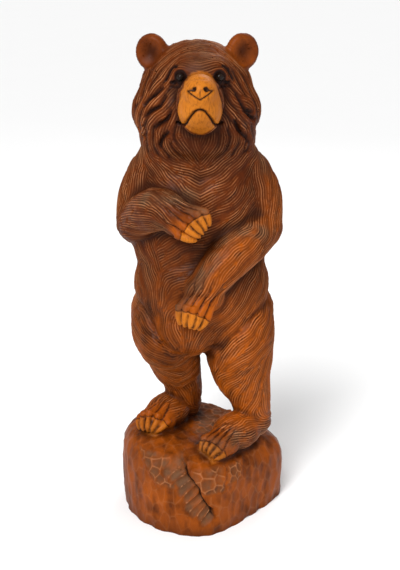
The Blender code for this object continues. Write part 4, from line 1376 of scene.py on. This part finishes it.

# %% [markdown]
# ## The face
#
# The face is cut with small gouges after the fur is laid out: cups in the ears, deep seats for the
# glass eyes with a fold above them, the nostrils, the edge of the nose, and the drooping mouth with
# the lower jaw set back under the lip.

# %% Face
# Folds of one eye: depth, width and darkness of the painted shade in it, then points out from its middle and
# up
EYE_FOLDS = (
    (0.0052, 0.0058, 1.60, ((0.004, 0.0210), (0.011, 0.0185), (0.0165, 0.0145), (0.020, 0.0080),
                            (0.0235, -0.0010), (0.029, -0.0110))),
    (0.0042, 0.0056, 1.70, ((0.007, -0.0085), (0.013, -0.0110), (0.021, -0.0118))),
    (0.0024, 0.0044, 0.90, ((-0.004, -0.0150), (0.008, -0.0190), (0.024, -0.0185))),
)
NOSE_EDGE = ((0.0000, 0.9010), (0.0120, 0.9083), (0.0235, 0.9158), (0.0190, 0.9170), (0.0150, 0.9188))
NOSTRIL = ((0.0115, 0.9205), (0.0135, 0.9205))
MUZZLE_TOP = ((-0.016, 0.9345), (0.0, 0.9368), (0.016, 0.9345))
LIP_PARTING = ((0.0, 0.9220), (0.0, 0.9030))
EYE_SEAT_RADIUS = 0.0125
EYE_SEAT_DEPTH = 0.0062
# The painted shade about each eye and in each nostril: radius, and how far past black it runs in the middle
EYE_DARK = (0.0155, 3.5)
NOSTRIL_DARK = (0.0066, 2.2)
# Each cut: width, depth and darkness of the painted shade in it
NOSTRIL_CUT = (0.0064, 0.0080, 1.0)
FLANK_CUT = (0.0050, 0.0024, 0.35)
NOSE_CUT = (0.0034, 0.0030, 0.95)
MOUTH_CUT = (0.0042, 0.0066, 1.0)
PARTING_CUT = (0.0030, 0.0018, 0.7)
TOP_CUT = (0.0030, 0.0014, 0.4)


def carve_face():
    """Ear cups, eye seats, lids, the nose, the mouth and the lower jaw."""
    height = -EAR_CUP_DEPTH * cup_share
    add_mark("cut", np.clip(0.75 * cup_share ** 1.5, 0.0, 1.0))
    marks["grime"] *= cup_share < 0.01
    furred = skin.tree()

    def on_face(half, side=1.0, steps=3):
        return from_front([(FACE_X + side * u, z) for u, z in half], steps, furred)

    def cut(path, width, depth, dark, **shape):
        made = groove(path, width, depth, **shape)
        # The darkness is shade painted into the cut
        add_mark("soot", np.clip(-made / depth * dark, 0.0, 1.0))
        return made

    for side, seat in zip((-1.0, 1.0), eye_seats):
        eye_x = FACE_X + side * EYE_SPACING / 2.0
        height += bowl(seat, EYE_SEAT_RADIUS, EYE_SEAT_DEPTH)
        # Painted shade about the eye seat
        add_mark("soot", np.clip(-bowl(seat, *EYE_DARK), 0.0, 1.0))
        for depth, width, dark, rows in EYE_FOLDS:
            fold = [(eye_x + side * a, EYE_HEIGHT + b) for a, b in rows]
            height += cut(from_front(fold, 4, furred), width, depth, dark)
        nostril = on_face(NOSTRIL, side, 1)
        height += cut(nostril, *NOSTRIL_CUT, taper=False)
        add_mark("soot", np.clip(-bowl(nostril[0], *NOSTRIL_DARK), 0.0, 1.0))
        height += cut(on_face(MUZZLE_HALF[3:7], side), *FLANK_CUT)
    height += cut(from_front(across_face(NOSE_EDGE), 3, furred), *NOSE_CUT, taper=False)
    mouth = from_front(across_face(LIP_HALF + MOUTH_CORNER), 3, furred)
    height += cut(mouth, *MOUTH_CUT, power=1.0, taper=False)
    height += cut(on_face(LIP_PARTING, 1.0, 2), *PARTING_CUT)
    height += cut(on_face(MUZZLE_TOP), *TOP_CUT)
    height -= JAW_SET_BACK * jaw_share
    skin.push(height)


carve_face()
print("face cut")

# %% [markdown]
# ## Where the stain has changed, and where shade is painted
#
# Light and hands have worked on the stain for years. Upper edges that catch the dust have gone grey
# brown, and the left hand and forearm, the feet and the rock have turned to orange. Shade is painted
# under the jaw and on the belly under the arms, and the right thigh is darker. Each place is a soft share
# about a short path.

# %% Weathered places and painted shade
# Each place: strength, reach, then points by X and Z as seen from the front
GREY_PLACES = (
    (0.50, 0.020, (-0.011, 0.984), (-0.011, 0.962), (-0.011, 0.941)),
    (0.45, 0.010, (-0.051, 0.907), (-0.063, 0.895)),
    (0.85, 0.015, (-0.110, 0.704), (-0.074, 0.712), (-0.035, 0.704), (-0.007, 0.691)),
    (0.45, 0.014, (-0.086, 0.655), (-0.068, 0.640)),
    (0.75, 0.016, (0.116, 0.629), (0.087, 0.638), (0.055, 0.633), (0.036, 0.619)),
    (1.00, 0.013, (0.020, 0.592), (0.001, 0.568), (-0.022, 0.531), (-0.046, 0.495)),
    (0.50, 0.018, (-0.120, 0.791), (-0.137, 0.757)),
    (0.50, 0.018, (0.102, 0.791), (0.121, 0.747)),
    (0.70, 0.014, (-0.129, 0.474), (-0.120, 0.456)),
    (0.70, 0.014, (0.003, 0.181), (0.035, 0.184), (0.068, 0.193)),
    (0.40, 0.014, (-0.123, 0.570), (-0.106, 0.524)),
)
AMBER_PLACES = (
    (0.90, 0.055, (0.084, 0.603), (0.046, 0.578), (0.016, 0.546), (-0.020, 0.470)),
    (1.00, 0.055, (0.085, 0.440), (0.080, 0.380), (0.085, 0.320), (0.095, 0.250)),
    (0.60, 0.030, (0.137, 0.720), (0.141, 0.660)),
    (0.80, 0.020, (-0.045, 0.655), (-0.020, 0.648), (0.002, 0.668), (0.008, 0.688)),
    (0.60, 0.040, (-0.045, 0.500), (-0.070, 0.420)),
)
# Painted shade under the jaw and on the belly under the arms, and a darker right thigh
DARK_PLACES = (
    (0.45, 0.030, (-0.040, 0.800), (-0.009, 0.790), (0.030, 0.800)),
    (0.62, 0.040, (-0.060, 0.560), (-0.030, 0.590), (-0.045, 0.520)),
    (0.72, 0.036, (-0.110, 0.460), (-0.095, 0.420), (-0.070, 0.390)),
)


def weathered_and_shaded(places, name):
    """Lay soft shares about the places onto a mark."""
    for strength, reach, *rows in places:
        path = from_front(rows, 3)
        close = near(skin.point, path, reach * 1.6)
        gap, _ = distance_to_path(skin.point[close], path)
        share = strength * np.clip(1.6 - gap / reach, 0.0, 1.0)
        share = share * np.clip(0.9 + 0.5 * streaks[close], 0.0, 1.2)
        marks[name][close] = np.maximum(marks[name][close], share)


weathered_and_shaded(GREY_PLACES, "patina")
weathered_and_shaded(AMBER_PLACES, "amber")
weathered_and_shaded(DARK_PLACES, "grime")
print(len(GREY_PLACES + AMBER_PLACES + DARK_PLACES), "places weathered")

# %% [markdown]
# ## The rock's tool marks
#
# The rock is left from the gouge. Each pass scoops a shallow cell, and the ridges between the cells
# catch the light, which is painted onto them as a paler colour. Cells are laid about scattered seeds: the
# distance to the nearest seed gives the scoop, and where two seeds are equally near, there is a ridge. Four
# patches are cut deeper and have gone grey, and shallow cells cover the rest. A long crack runs down the
# front, painted near black as shade, and the wood on one side of it has been cut away in steps.

# %% Gouge cells
SEED_SPACING = 0.72
MOST_SEEDS = 900
SEED_LIFT = 0.10
CELL_REACH = 0.6
RIDGE_SHARE = 0.16
BATCH = 20000


def cells(where, pitch, stretch, seed):
    """Depth share of the scoops about scattered seeds, and the share of the ridges between them.

    Each scoop also takes a random tone of its own.
    """
    rows = np.nonzero(where > 0.02)[0]
    spots = skin.point[rows] / np.array(stretch)
    draw = np.random.default_rng(SEED + seed)
    seeds = []
    for index in draw.permutation(len(rows)):
        spot = spots[index]
        if not seeds or np.min(np.sum((np.array(seeds) - spot) ** 2, axis=1)) > (pitch * SEED_SPACING) ** 2:
            seeds.append(spot)
        if len(seeds) > MOST_SEEDS:
            break
    seeds = np.array(seeds)
    lift = draw.uniform(-SEED_LIFT, SEED_LIFT, len(seeds)) * pitch ** 2
    tone = draw.uniform(0.0, 1.0, len(seeds))
    scoop = np.zeros(len(skin.point))
    ridge = np.zeros(len(skin.point))
    for first in range(0, len(rows), BATCH):
        part = slice(first, first + BATCH)
        some = spots[part]
        gaps = (some ** 2).sum(1)[:, None] + (seeds ** 2).sum(1) + lift - 2.0 * some @ seeds.T
        order = np.argpartition(gaps, 1, axis=1)[:, :2]
        own, next_one = seeds[order[:, 0]], seeds[order[:, 1]]
        own_lift, next_lift = lift[order[:, 0]], lift[order[:, 1]]
        marks["comb"][rows[part]] = tone[order[:, 0]]
        apart = np.linalg.norm(next_one - own, axis=1)
        offset = ((some - next_one) ** 2).sum(1) - ((some - own) ** 2).sum(1)
        offset = (offset + next_lift - own_lift) / (2.0 * apart)
        step = slid(offset)
        some = some + (next_one - own) * (step / apart)[:, None]
        spots[part] = some
        own_gap = ((some - own) ** 2).sum(1) + own_lift
        scoop[rows[part]] = np.clip(1.0 - own_gap / (pitch * CELL_REACH) ** 2, -0.4, 1.4)
        ridge[rows[part]] = np.clip(1.0 - (offset - step) / (pitch * RIDGE_SHARE), 0.0, 1.0)
    moved = skin.point.copy()
    moved[rows] = spots * np.array(stretch)
    skin.place(moved)
    return scoop * where, ridge * where


print("cells at most", MOST_SEEDS, "a patch")

# %% Crack and scoops
# The crack runs between two places, by X and Z, and wanders a little in two waves
CRACK_START = (-0.050, 0.176)
CRACK_END = (0.026, 0.040)
CRACK_WANDER = 0.0022
CRACK_JITTER = 0.0008
CRACK_CLOSED = 0.014
CRACK_FADE = 0.024
CRACK_WIDTH = 0.0040
CRACK_CUT = 0.0045
SLOPE_REACH = 0.046
SLOPE_EDGE = 0.0042
SLOPE_DEPTH = 0.0105
SCOOP_COUNT = 9
SCOOP_PITCH = 0.0172
SCOOP_SHIFT = 0.12
SCOOP_WIDTH = 0.64
SCOOP_LEAN = 0.245
SCOOP_LENGTH = 0.044
SCOOP_DEPTH = 0.0068
SCOOP_EDGE = 0.003
SCOOP_RIDGE = 0.22
SCOOP_GREY = 0.85


def scoops(along, aside):
    """Depth share of the scoops left of the crack, and the share of the ridges between them."""
    draw = np.random.default_rng(SEED)
    best = np.zeros(len(along))
    second = np.zeros(len(along))
    for index in range(SCOOP_COUNT):
        reach = SCOOP_LENGTH * draw.uniform(0.70, 1.15) * (1.0 - 0.03 * index)
        middle = index + 0.5 + draw.uniform(-SCOOP_SHIFT, SCOOP_SHIFT)
        from_line = along - SCOOP_LEAN * aside - middle * SCOOP_PITCH
        beyond = np.maximum(np.maximum(aside - reach, 0.0), -0.6 * aside)
        gap = np.hypot(from_line, beyond) / (SCOOP_PITCH * SCOOP_WIDTH)
        share = np.clip(1.0 - gap ** 2, 0.0, 1.0) * draw.uniform(0.8, 1.1)
        second = np.maximum(second, np.minimum(best, share))
        best = np.maximum(best, share)
    ridge = np.clip(1.0 - (best - second) / SCOOP_RIDGE, 0.0, 1.0) * (second > 0.02)
    return best, ridge


def cut_crack(height):
    """Cut the crack and the steps beside it into the height, and return the share of the steps."""
    x, _, z = skin.point.T
    start, end = np.array(CRACK_START), np.array(CRACK_END)
    length = np.linalg.norm(end - start)
    run = (end - start) / length
    along = (x - start[0]) * run[0] + (z - start[1]) * run[1]
    aside = (x - start[0]) * run[1] - (z - start[1]) * run[0]
    aside = aside + CRACK_WANDER * np.sin(along * 105.0) + CRACK_JITTER * np.sin(along * 240.0 + 1.0)
    front = np.clip(-1.6 * skin.normal[:, 1] - 0.3, 0.0, 1.0) * on_rock
    ends = band(along, CRACK_CLOSED, length, CRACK_FADE)
    slope = np.clip(1.0 - aside / SLOPE_REACH, 0.0, 1.0) * np.clip(aside / SLOPE_EDGE + 0.8, 0.0, 1.0)
    scoop, ridge = scoops(along, aside)
    beside = front * np.clip(aside / SCOOP_EDGE + 1.0, 0.0, 1.0) * np.clip(5.0 * scoop, 0.0, 1.0)
    height += -SLOPE_DEPTH * slope * front * ends - SCOOP_DEPTH * scoop * beside
    add_mark("patina", SCOOP_GREY * beside * np.clip(scoop * 1.2 - 0.1, 0.0, 1.0))
    # The ridges beside the crack are marked paler: a painted highlight
    add_mark("wear", beside * ridge)
    crack = front * ends * np.clip(1.0 - np.abs(aside) / CRACK_WIDTH, 0.0, 1.0)
    height -= CRACK_CUT * crack
    # Painted shade: the crack is coloured near black
    add_mark("soot", crack)
    return beside


print(SCOOP_COUNT, "scoops beside the crack")

# %% Patches and the rest of the rock
# Each patch on the front: limits of X and of Z, how far X leans with height, soft edge, pitch of
# its facets, their depth and how grey they have gone
FRONT_PATCHES = (
    ((-0.024, 0.044), (0.096, 0.146), 0.0, 0.008, 0.025, 0.0078, 0.9),
    ((-0.022, 0.066), (0.106, 0.164), 0.7, 0.008, 0.024, 0.0078, 0.9),
    ((0.048, 0.080), (0.104, 0.140), 0.0, 0.006, 0.020, 0.0056, 0.7),
)
# The patch between the feet
TOP_X = (-0.020, 0.085)
TOP_Y = (-0.030, 0.125)
TOP_Z = (0.13, 0.21)
TOP_SOFT = 0.012
TOP_SOFT_Z = 0.01
TOP_PITCH = 0.022
TOP_STRETCH = (1.3, 1.0, 1.0)
TOP_DEPTH = 0.0062
TOP_GREY = 0.9
FRONT_FADE = 0.04
PATCH_RISE = 0.55
PATCH_CREST = 0.74
PLAIN_PITCH = 0.026
PLAIN_STRETCH = (1.0, 1.0, 1.5)
PLAIN_FADE = 0.004
PLAIN_DEPTH = 0.0024
PLAIN_RISE = 0.30
PLAIN_CREST = 0.50
PLAIN_SEED = 9


def patches():
    """Share, pitch, stretch, depth and greyness of each patch of facets."""
    x, y, z = skin.point.T
    face = np.clip(-y / FRONT_FADE, 0.0, 1.0)
    found = []
    for x_limits, z_limits, lean, soft, pitch, depth, grey in FRONT_PATCHES:
        where = band(x + lean * z, *x_limits, soft) * band(z, *z_limits, soft) * face
        found.append((where, pitch, (1.0, 1.0, 1.0), depth, grey))
    top = band(x, *TOP_X, TOP_SOFT) * band(y, *TOP_Y, TOP_SOFT) * band(z, *TOP_Z, TOP_SOFT_Z)
    return found + [(top, TOP_PITCH, TOP_STRETCH, TOP_DEPTH, TOP_GREY)]


def cut_cells(height, beside):
    """Cut deep facets into the height in the patches, and shallow cells in the rest of the rock."""
    bare = on_rock * (1.0 - beside)
    above_floor = np.clip(skin.point[:, 2] / PLAIN_FADE, 0.0, 1.0)
    for index, (where, pitch, stretch, depth, grey) in enumerate(patches()):
        where = where * bare
        scoop, ridge = cells(where, pitch, stretch, index + 1)
        height += depth * (PATCH_RISE * where - scoop)
        add_mark("patina", grey * np.clip(scoop * 1.3 - 0.2, 0.0, 0.8))
        add_mark("wear", PATCH_CREST * ridge)
        bare = bare * (where < 0.05)
    everywhere = bare * above_floor
    scoop, ridge = cells(everywhere, PLAIN_PITCH, PLAIN_STRETCH, PLAIN_SEED)
    height += PLAIN_DEPTH * (PLAIN_RISE * everywhere - scoop)
    add_mark("wear", PLAIN_CREST * ridge)


print(len(FRONT_PATCHES) + 1, "patches of facets")

# %% Carve the rock
RIM_HEIGHT = 0.030
RIM_DEPTH = 0.0036
BOX_MARGIN = 0.0004


def carve_rock():
    """The crack, the scoops beside it, the cells all round, and the uneven lower rim."""
    x, y, z = skin.point.T
    height = np.zeros(len(skin.point))
    beside = cut_crack(height)
    cut_cells(height, beside)
    rim = np.clip(1.0 - z / RIM_HEIGHT, 0.0, 1.0) * (z > -0.001)
    angle = np.arctan2(y, x)
    uneven = np.sin(angle * 13.0 + 2.6 * np.sin(angle * 3.0 + 1.0))
    uneven = uneven + 0.6 * np.sin(angle * 23.0 + 2.0 * np.sin(angle * 4.0))
    height -= RIM_DEPTH * rim ** 1.5 * np.clip(0.3 + 0.5 * uneven, 0.0, 1.0)
    skin.push(height)
    low, high = (np.array(corner) for corner in cad_box)
    skin.place(np.clip(skin.point, low + (BOX_MARGIN, BOX_MARGIN, -1.0), high - BOX_MARGIN))


carve_rock()
print("rock cut")

# %% [markdown]
# ## Fewer faces
#
# The skin has far more faces than its shape needs. It is thinned where it is smooth or where faces
# can run along a cut, and sawn flat where the log stood on the floor.

# %% Thin and saw flat
FACES_WANTED = 190000
SAW_TOLERANCE = 0.00001
MERGED_WITHIN = 0.00005


def thinned(form):
    """The carved form in the number of faces wanted, sawn flat at the floor."""
    form.data.calc_loop_triangles()
    thin = form.modifiers.new("thin", "DECIMATE")
    thin.ratio = FACES_WANTED / len(form.data.loop_triangles)
    thin.use_collapse_triangulate = True
    form = plain_mesh(form, "carved_bear_wood")
    shape = bmesh.new()
    shape.from_mesh(form.data)
    everything = shape.verts[:] + shape.edges[:] + shape.faces[:]
    bmesh.ops.bisect_plane(shape, geom=everything, dist=SAW_TOLERANCE,
                           plane_co=(0.0, 0.0, 0.0), plane_no=(0.0, 0.0, 1.0), clear_inner=True)
    rim = [e for e in shape.edges if e.is_boundary]
    bmesh.ops.triangle_fill(shape, edges=rim, use_beauty=True, use_dissolve=False, normal=(0.0, 0.0, -1.0))
    bmesh.ops.remove_doubles(shape, verts=shape.verts, dist=MERGED_WITHIN)
    bmesh.ops.recalc_face_normals(shape, faces=shape.faces)
    loose = sum(1 for e in shape.edges if not e.is_manifold)
    print("open or crowded edges:", loose)
    shape.to_mesh(form.data)
    shape.free()
    form.data.shade_smooth()
    return form


bear = thinned(fine_form)
bear_home = nearest_points(skin.point, points_of(bear.data))
for name, share in marks.items():
    layer = bear.data.attributes.new(name, "FLOAT", "POINT")
    layer.data.foreach_set("value", np.clip(share[bear_home], 0.0, 1.0).astype(np.float32))
bear.data.calc_loop_triangles()
print("bear:", len(bear.data.loop_triangles), "triangles")

# %% [markdown]
# ## The glass eyes
#
# The eyes are dark glass beads pushed into bored seats, so only their fronts show. A round ball with
# many faces is enough. Its front bulges a little, to catch the light, and its back is a little flat.

# %% Eyes
EYE_BULGE = 0.0007
BULGE_START = 0.55
BULGE_SPREAD = 0.2
BACK_FLATNESS = 0.02


def glass_eye(name):
    """A ball as large as the solid it replaces, smooth, with a bulging front."""
    low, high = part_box(name)
    middle = (low + high) / 2.0
    radius = (high.x - low.x) / 2.0
    eye = ball((0.0, 0.0, 0.0), (radius,) * 3, 0, 48, 32)
    eye.name = eye.data.name = name + "_glass"
    for vertex in eye.data.vertices:
        toward = -vertex.co.y / radius
        vertex.co *= 1.0 - BACK_FLATNESS * max(0.0, -toward)
        vertex.co.y -= EYE_BULGE * max(0.0, toward - BULGE_START) ** 2 / BULGE_SPREAD
        vertex.co += middle
    eye.data.shade_smooth()
    return eye


eyes = {name: glass_eye(name) for name in ("glass_eye_left", "glass_eye_right")}
print("eyes:", sorted(eyes))

# %% [markdown]
# ## Shader arithmetic
#
# A stain is easier to write as sums and products than as a web of nodes. A small class wraps a
# socket, and every plain operator on it adds the Math node that does the same.

# %% Terms
class Term:
    """A value in a shader, on which ordinary arithmetic works."""

    def __init__(self, finish, socket):
        self.finish = finish
        self.socket = socket

    def maths(self, operation, *others):
        inputs = {index: other for index, other in enumerate(others)}
        return self.finish.add("ShaderNodeMath", {"operation": operation}, inputs)

    def __add__(self, other):
        return self.maths("ADD", self, other)

    def __sub__(self, other):
        return self.maths("SUBTRACT", self, other)

    def __rsub__(self, other):
        return self.maths("SUBTRACT", other, self)

    def __mul__(self, other):
        return self.maths("MULTIPLY", self, other)

    def __pow__(self, other):
        return self.maths("POWER", self, other)

    __radd__ = __add__
    __rmul__ = __mul__

    def clamped(self, low, high):
        """The value led from low..high to 0..1 and held there."""
        return self.finish.add("ShaderNodeMapRange", {"clamp": True}, {0: self, 1: low, 2: high})


def plain_value(value):
    """What a socket takes: a term's own socket, or the value itself."""
    return value.socket if isinstance(value, Term) else value


print("terms can be added and multiplied")

# %% Finishes
NOISE_ROUGHNESS = 0.55


class Finish:
    """One material and the ways to add to it."""

    def __init__(self, name):
        self.made = bpy.data.materials.new(name)
        self.made.use_nodes = True
        self.tree = self.made.node_tree
        self.shader = self.tree.nodes["Principled BSDF"]
        self.place = self.add("ShaderNodeTexCoord", None, None, "Object")

    def add(self, kind, settings=None, inputs=None, output=0):
        """A node of one type: its settings, then the values or links of its sockets."""
        plain = {key: plain_value(value) for key, value in (inputs or {}).items()}
        return Term(self, add_node(self.tree, kind, settings, plain).outputs[output])

    def mark(self, name):
        """A share stored on the points of the piece."""
        return self.add("ShaderNodeAttribute", {"attribute_name": name}, None, "Fac")

    def noise(self, scale, detail, stretch=(1.0, 1.0, 1.0)):
        """Even noise about one half, stretched along the axes."""
        spot = self.add("ShaderNodeMapping", None, {"Vector": self.place, "Scale": stretch})
        inputs = {"Vector": spot, "Scale": scale, "Detail": detail, "Roughness": NOISE_ROUGHNESS}
        return self.add("ShaderNodeTexNoise", None, inputs, "Fac")

    def blend(self, first, second, share):
        """A colour between two colours."""
        return self.add("ShaderNodeMix", {"data_type": "RGBA"}, {0: share, 6: first, 7: second}, 2)

    def fade(self, first, second, share):
        """A number between two numbers."""
        return self.add("ShaderNodeMix", {"data_type": "FLOAT"}, {0: share, 2: first, 3: second})

    def heights(self):
        """How high each point of the piece stands, in metres."""
        return self.add("ShaderNodeSeparateXYZ", None, {0: self.place}, "Z")

    def bump(self, height, distance, strength):
        """The surface's normal, tilted by a fine height."""
        return self.add("ShaderNodeBump", None,
                        {"Height": height, "Distance": distance, "Strength": strength})

    def to_shader(self, **values):
        """Feed the Principled shader, by its sockets' names with underscores for spaces."""
        for key, value in values.items():
            feed(self.tree, self.shader.inputs[key.replace("_", " ")], plain_value(value))


print("finishes can be mixed")

# %% [markdown]
# ## Stained wood
#
# The stain is a red brown that turns orange on the legs, where the light has bleached it. It stands
# nearly black in the cuts, is worn to a warm tan on the crests, and where dust lies the varnish has
# weathered to a grey brown. The muzzle and the claws were left golden. Light and shade are painted in
# as well: a paler highlight on the crests and the rock's ridges, shade in the hollows, under the jaw,
# on the belly and between the locks, and near black in the deep gaps, eye seats, nostrils, face cuts
# and the crack. Near the floor the rock is darker. The colours are laid one over
# another, as coats of stain are, each by a mark that the carving left on the points or by slow noise.

# %% Wood
DEEP_BROWN = (0.022, 0.004, 0.0006, 1.0)
CHOCOLATE = (0.092, 0.017, 0.002, 1.0)
RED_BROWN = (0.176, 0.036, 0.003, 1.0)
ORANGE_BROWN = (0.390, 0.082, 0.003, 1.0)
GOLDEN = (0.590, 0.190, 0.016, 1.0)
DARK_GOLD = (0.400, 0.110, 0.006, 1.0)
# The crests' colour: worn stain and a painted highlight
CREST_WEAR_AND_HIGHLIGHT = (0.520, 0.230, 0.100, 1.0)
GREY_BROWN = (0.140, 0.070, 0.034, 1.0)
# Near black for the painted shade in the deep gaps, eye seats, nostrils, face cuts and the crack
SHADE_BLACK = (0.010, 0.003, 0.002, 1.0)
SHEEN = 0.08
POLISHED = 0.38
SATIN = 0.52
WEATHERED = 0.72
GRAIN_HEIGHT = 0.0012
GRAIN_STRENGTH = 0.35
LEGS_BELOW = 0.62
ROCK_BELOW = 0.22
DARKER_BELOW = 0.030


def stained_wood():
    """The log's stain and satin varnish."""
    wood = Finish("stained_wood")
    blotch = wood.noise(9.0, 4.0)
    mottle = wood.noise(34.0, 4.0, (1.0, 1.0, 0.6))
    streak = wood.noise(30.0, 4.0, (1.0, 1.0, 0.16))
    fleck = wood.noise(300.0, 3.0, (1.0, 1.0, 0.25))
    comb = wood.mark("comb")
    height = wood.heights()
    low_down = (LEGS_BELOW - height).clamped(0.0, 0.30)
    rock = (ROCK_BELOW - height).clamped(0.0, 0.04)
    warm = low_down * 0.45 + wood.mark("amber") * 0.8 + (blotch - 0.5) * 1.1
    colour = wood.blend(CHOCOLATE, RED_BROWN, (blotch + comb * 0.5 + low_down * 0.5).clamped(0.45, 1.05))
    colour = wood.blend(colour, ORANGE_BROWN, warm.clamped(0.05, 0.95))
    colour = wood.blend(colour, DEEP_BROWN, streak.clamped(0.48, 0.80) * 0.45)
    colour = wood.blend(colour, DEEP_BROWN, mottle.clamped(0.46, 0.70) * rock * 0.72)
    patina = wood.mark("patina") * (mottle.clamped(0.38, 0.60) * 0.6 + 0.4)
    colour = wood.blend(colour, GREY_BROWN, patina)
    colour = wood.blend(colour, DEEP_BROWN, comb * rock * 0.32)
    gold = wood.mark("gold")
    golden = wood.blend(DARK_GOLD, GOLDEN, (mottle * 0.6 + blotch * 0.6).clamped(0.42, 0.78))
    colour = wood.blend(colour, golden, gold * 0.95)
    colour = wood.blend(colour, DEEP_BROWN, fleck.clamped(0.50, 0.70) * (gold * 0.34 + 0.10))
    # Painted highlight: the crests turn paler, as well as worn
    wear = wood.mark("wear")
    crest = wear ** 2.5 * (comb * 0.6 + blotch.clamped(0.30, 0.75) * 0.5 + rock * 0.4)
    colour = wood.blend(colour, CREST_WEAR_AND_HIGHLIGHT, crest.clamped(0.05, 0.90) * 0.72)
    # The cuts stand dark with stain, and those between the locks with painted shade as well
    cut = wood.mark("cut")
    colour = wood.blend(colour, DEEP_BROWN, cut.clamped(0.10, 0.85) * 0.92)
    # Painted shade in the hollows, under the jaw and on the belly, and a darker right thigh
    colour = wood.blend(colour, DEEP_BROWN, wood.mark("grime") * 0.85)
    # Darker towards the bottom of the rock
    toward_floor = (DARKER_BELOW - height).clamped(0.0, DARKER_BELOW)
    colour = wood.blend(colour, DEEP_BROWN, toward_floor * 0.45)
    # Painted shade, near black, in the deep gaps, eye seats, nostrils, face cuts and the crack
    colour = wood.blend(colour, SHADE_BLACK, wood.mark("soot").clamped(0.10, 0.75) * 0.96)
    rough = wood.fade(POLISHED, SATIN, streak.clamped(0.3, 0.7))
    rough = wood.fade(rough, WEATHERED, patina * 0.7)
    normal = wood.bump(fleck * 0.5 + mottle * 0.5, GRAIN_HEIGHT, GRAIN_STRENGTH)
    wood.to_shader(Base_Color=colour, Roughness=rough, Normal=normal, Specular_IOR_Level=SHEEN)
    return wood.made


bear.data.materials.clear()
bear.data.materials.append(stained_wood())
print("wood stained")

# %% [markdown]
# ## Dark glass
#
# The eyes look black until light falls into them, and then they show a little brown. Real
# transparency would show only the dark seat behind, so a near-black surface does as well.

# %% Glass
GLASS_BLACK = (0.008, 0.006, 0.005, 1.0)
GLASS_BROWN = (0.050, 0.018, 0.006, 1.0)


def dark_glass():
    """Near-black glass with a faint cloud of brown."""
    glass = Finish("dark_glass")
    cloud = glass.noise(260.0, 2.0).clamped(0.35, 0.75)
    glass.to_shader(Base_Color=glass.blend(GLASS_BLACK, GLASS_BROWN, cloud * 0.3))
    glass.to_shader(Roughness=glass.fade(0.04, 0.09, cloud))
    glass.to_shader(Coat_Weight=0.04, Coat_Roughness=0.03, Specular_IOR_Level=0.10)
    return glass.made


eye_glass = dark_glass()
for eye in eyes.values():
    eye.data.materials.clear()
    eye.data.materials.append(eye_glass)
print("eyes polished")

# %% [markdown]
# ## The studio
#
# A pale floor that runs far back, an even daylight from the upper left, three soft boxes that lift
# the shadows, and a plain white sky. None of it belongs to the object.

# %% Floor
FLOOR_REACH = 40.0
FLOOR_WHITE = (0.90, 0.90, 0.90, 1.0)


def pale(name, colour):
    """A plain matt finish for the stage."""
    finish = Finish(name)
    tone = finish.noise(2.0, 1.0)
    finish.to_shader(Base_Color=finish.blend(colour, (1.0, 1.0, 1.0, 1.0), tone * 0.1), Roughness=0.9)
    return finish.made


def pale_floor():
    """A round flat floor."""
    bpy.ops.mesh.primitive_circle_add(vertices=96, radius=FLOOR_REACH, fill_type="TRIFAN")
    made = bpy.context.object
    made.name = made.data.name = "floor"
    made.data.materials.append(pale("pale_floor", FLOOR_WHITE))
    return made


pale_floor()
print("floor reaches", FLOOR_REACH, "m")

# %% Lights
# Two angles give the daylight's direction, and the third says how soft its shadows are
DAYLIGHT_TILT = 42.0
DAYLIGHT_TURN = -24.0
DAYLIGHT_SPREAD = 26.0
DAYLIGHT_STRENGTH = 2.45
SKY_STRENGTH = 0.49
MIDDLE = (0.0, 0.0, 0.55)
# Each soft box: name, place, width and power
SOFT_BOXES = (
    ("key", (-1.0, -2.2, 2.3), 0.7, 22.0),
    ("fill", (2.2, -1.8, 1.2), 1.4, 9.0),
    ("back", (0.8, 2.2, 2.4), 1.4, 20.0),
)


def stand_light(name, kind, power):
    """A lamp of one kind on its stand."""
    lamp = bpy.data.lights.new(name, kind)
    lamp.energy = power
    stand = bpy.data.objects.new(name, lamp)
    bpy.context.scene.collection.objects.link(stand)
    return lamp, stand


def daylight():
    """An even light from far off, as a very large window gives."""
    lamp, stand = stand_light("daylight", "SUN", DAYLIGHT_STRENGTH)
    lamp.angle = math.radians(DAYLIGHT_SPREAD)
    stand.rotation_euler = (math.radians(DAYLIGHT_TILT), 0.0, math.radians(DAYLIGHT_TURN))


def soft_box(name, place, size, power):
    """A square soft light that looks at the middle of the bear."""
    lamp, stand = stand_light(name, "AREA", power)
    lamp.size = size
    stand.location = place
    stand.rotation_euler = (Vector(MIDDLE) - Vector(place)).to_track_quat("-Z", "Y").to_euler()


daylight()
for row in SOFT_BOXES:
    soft_box(*row)
sky = bpy.data.worlds.new("sky")
sky.use_nodes = True
sky.node_tree.nodes["Background"].inputs["Color"].default_value = (1.0, 1.0, 1.0, 1.0)
sky.node_tree.nodes["Background"].inputs["Strength"].default_value = SKY_STRENGTH
bpy.context.scene.world = sky
bpy.context.scene.view_settings.view_transform = "Standard"
print("studio lit")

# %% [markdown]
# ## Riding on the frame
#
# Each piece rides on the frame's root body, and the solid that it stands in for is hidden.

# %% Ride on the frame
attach(bear, "root")
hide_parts("carved_bear")
for node, eye in eyes.items():
    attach(eye, "root")
    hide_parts(node)
bpy.data.objects.remove(coarse_skin.thing, do_unlink=True)
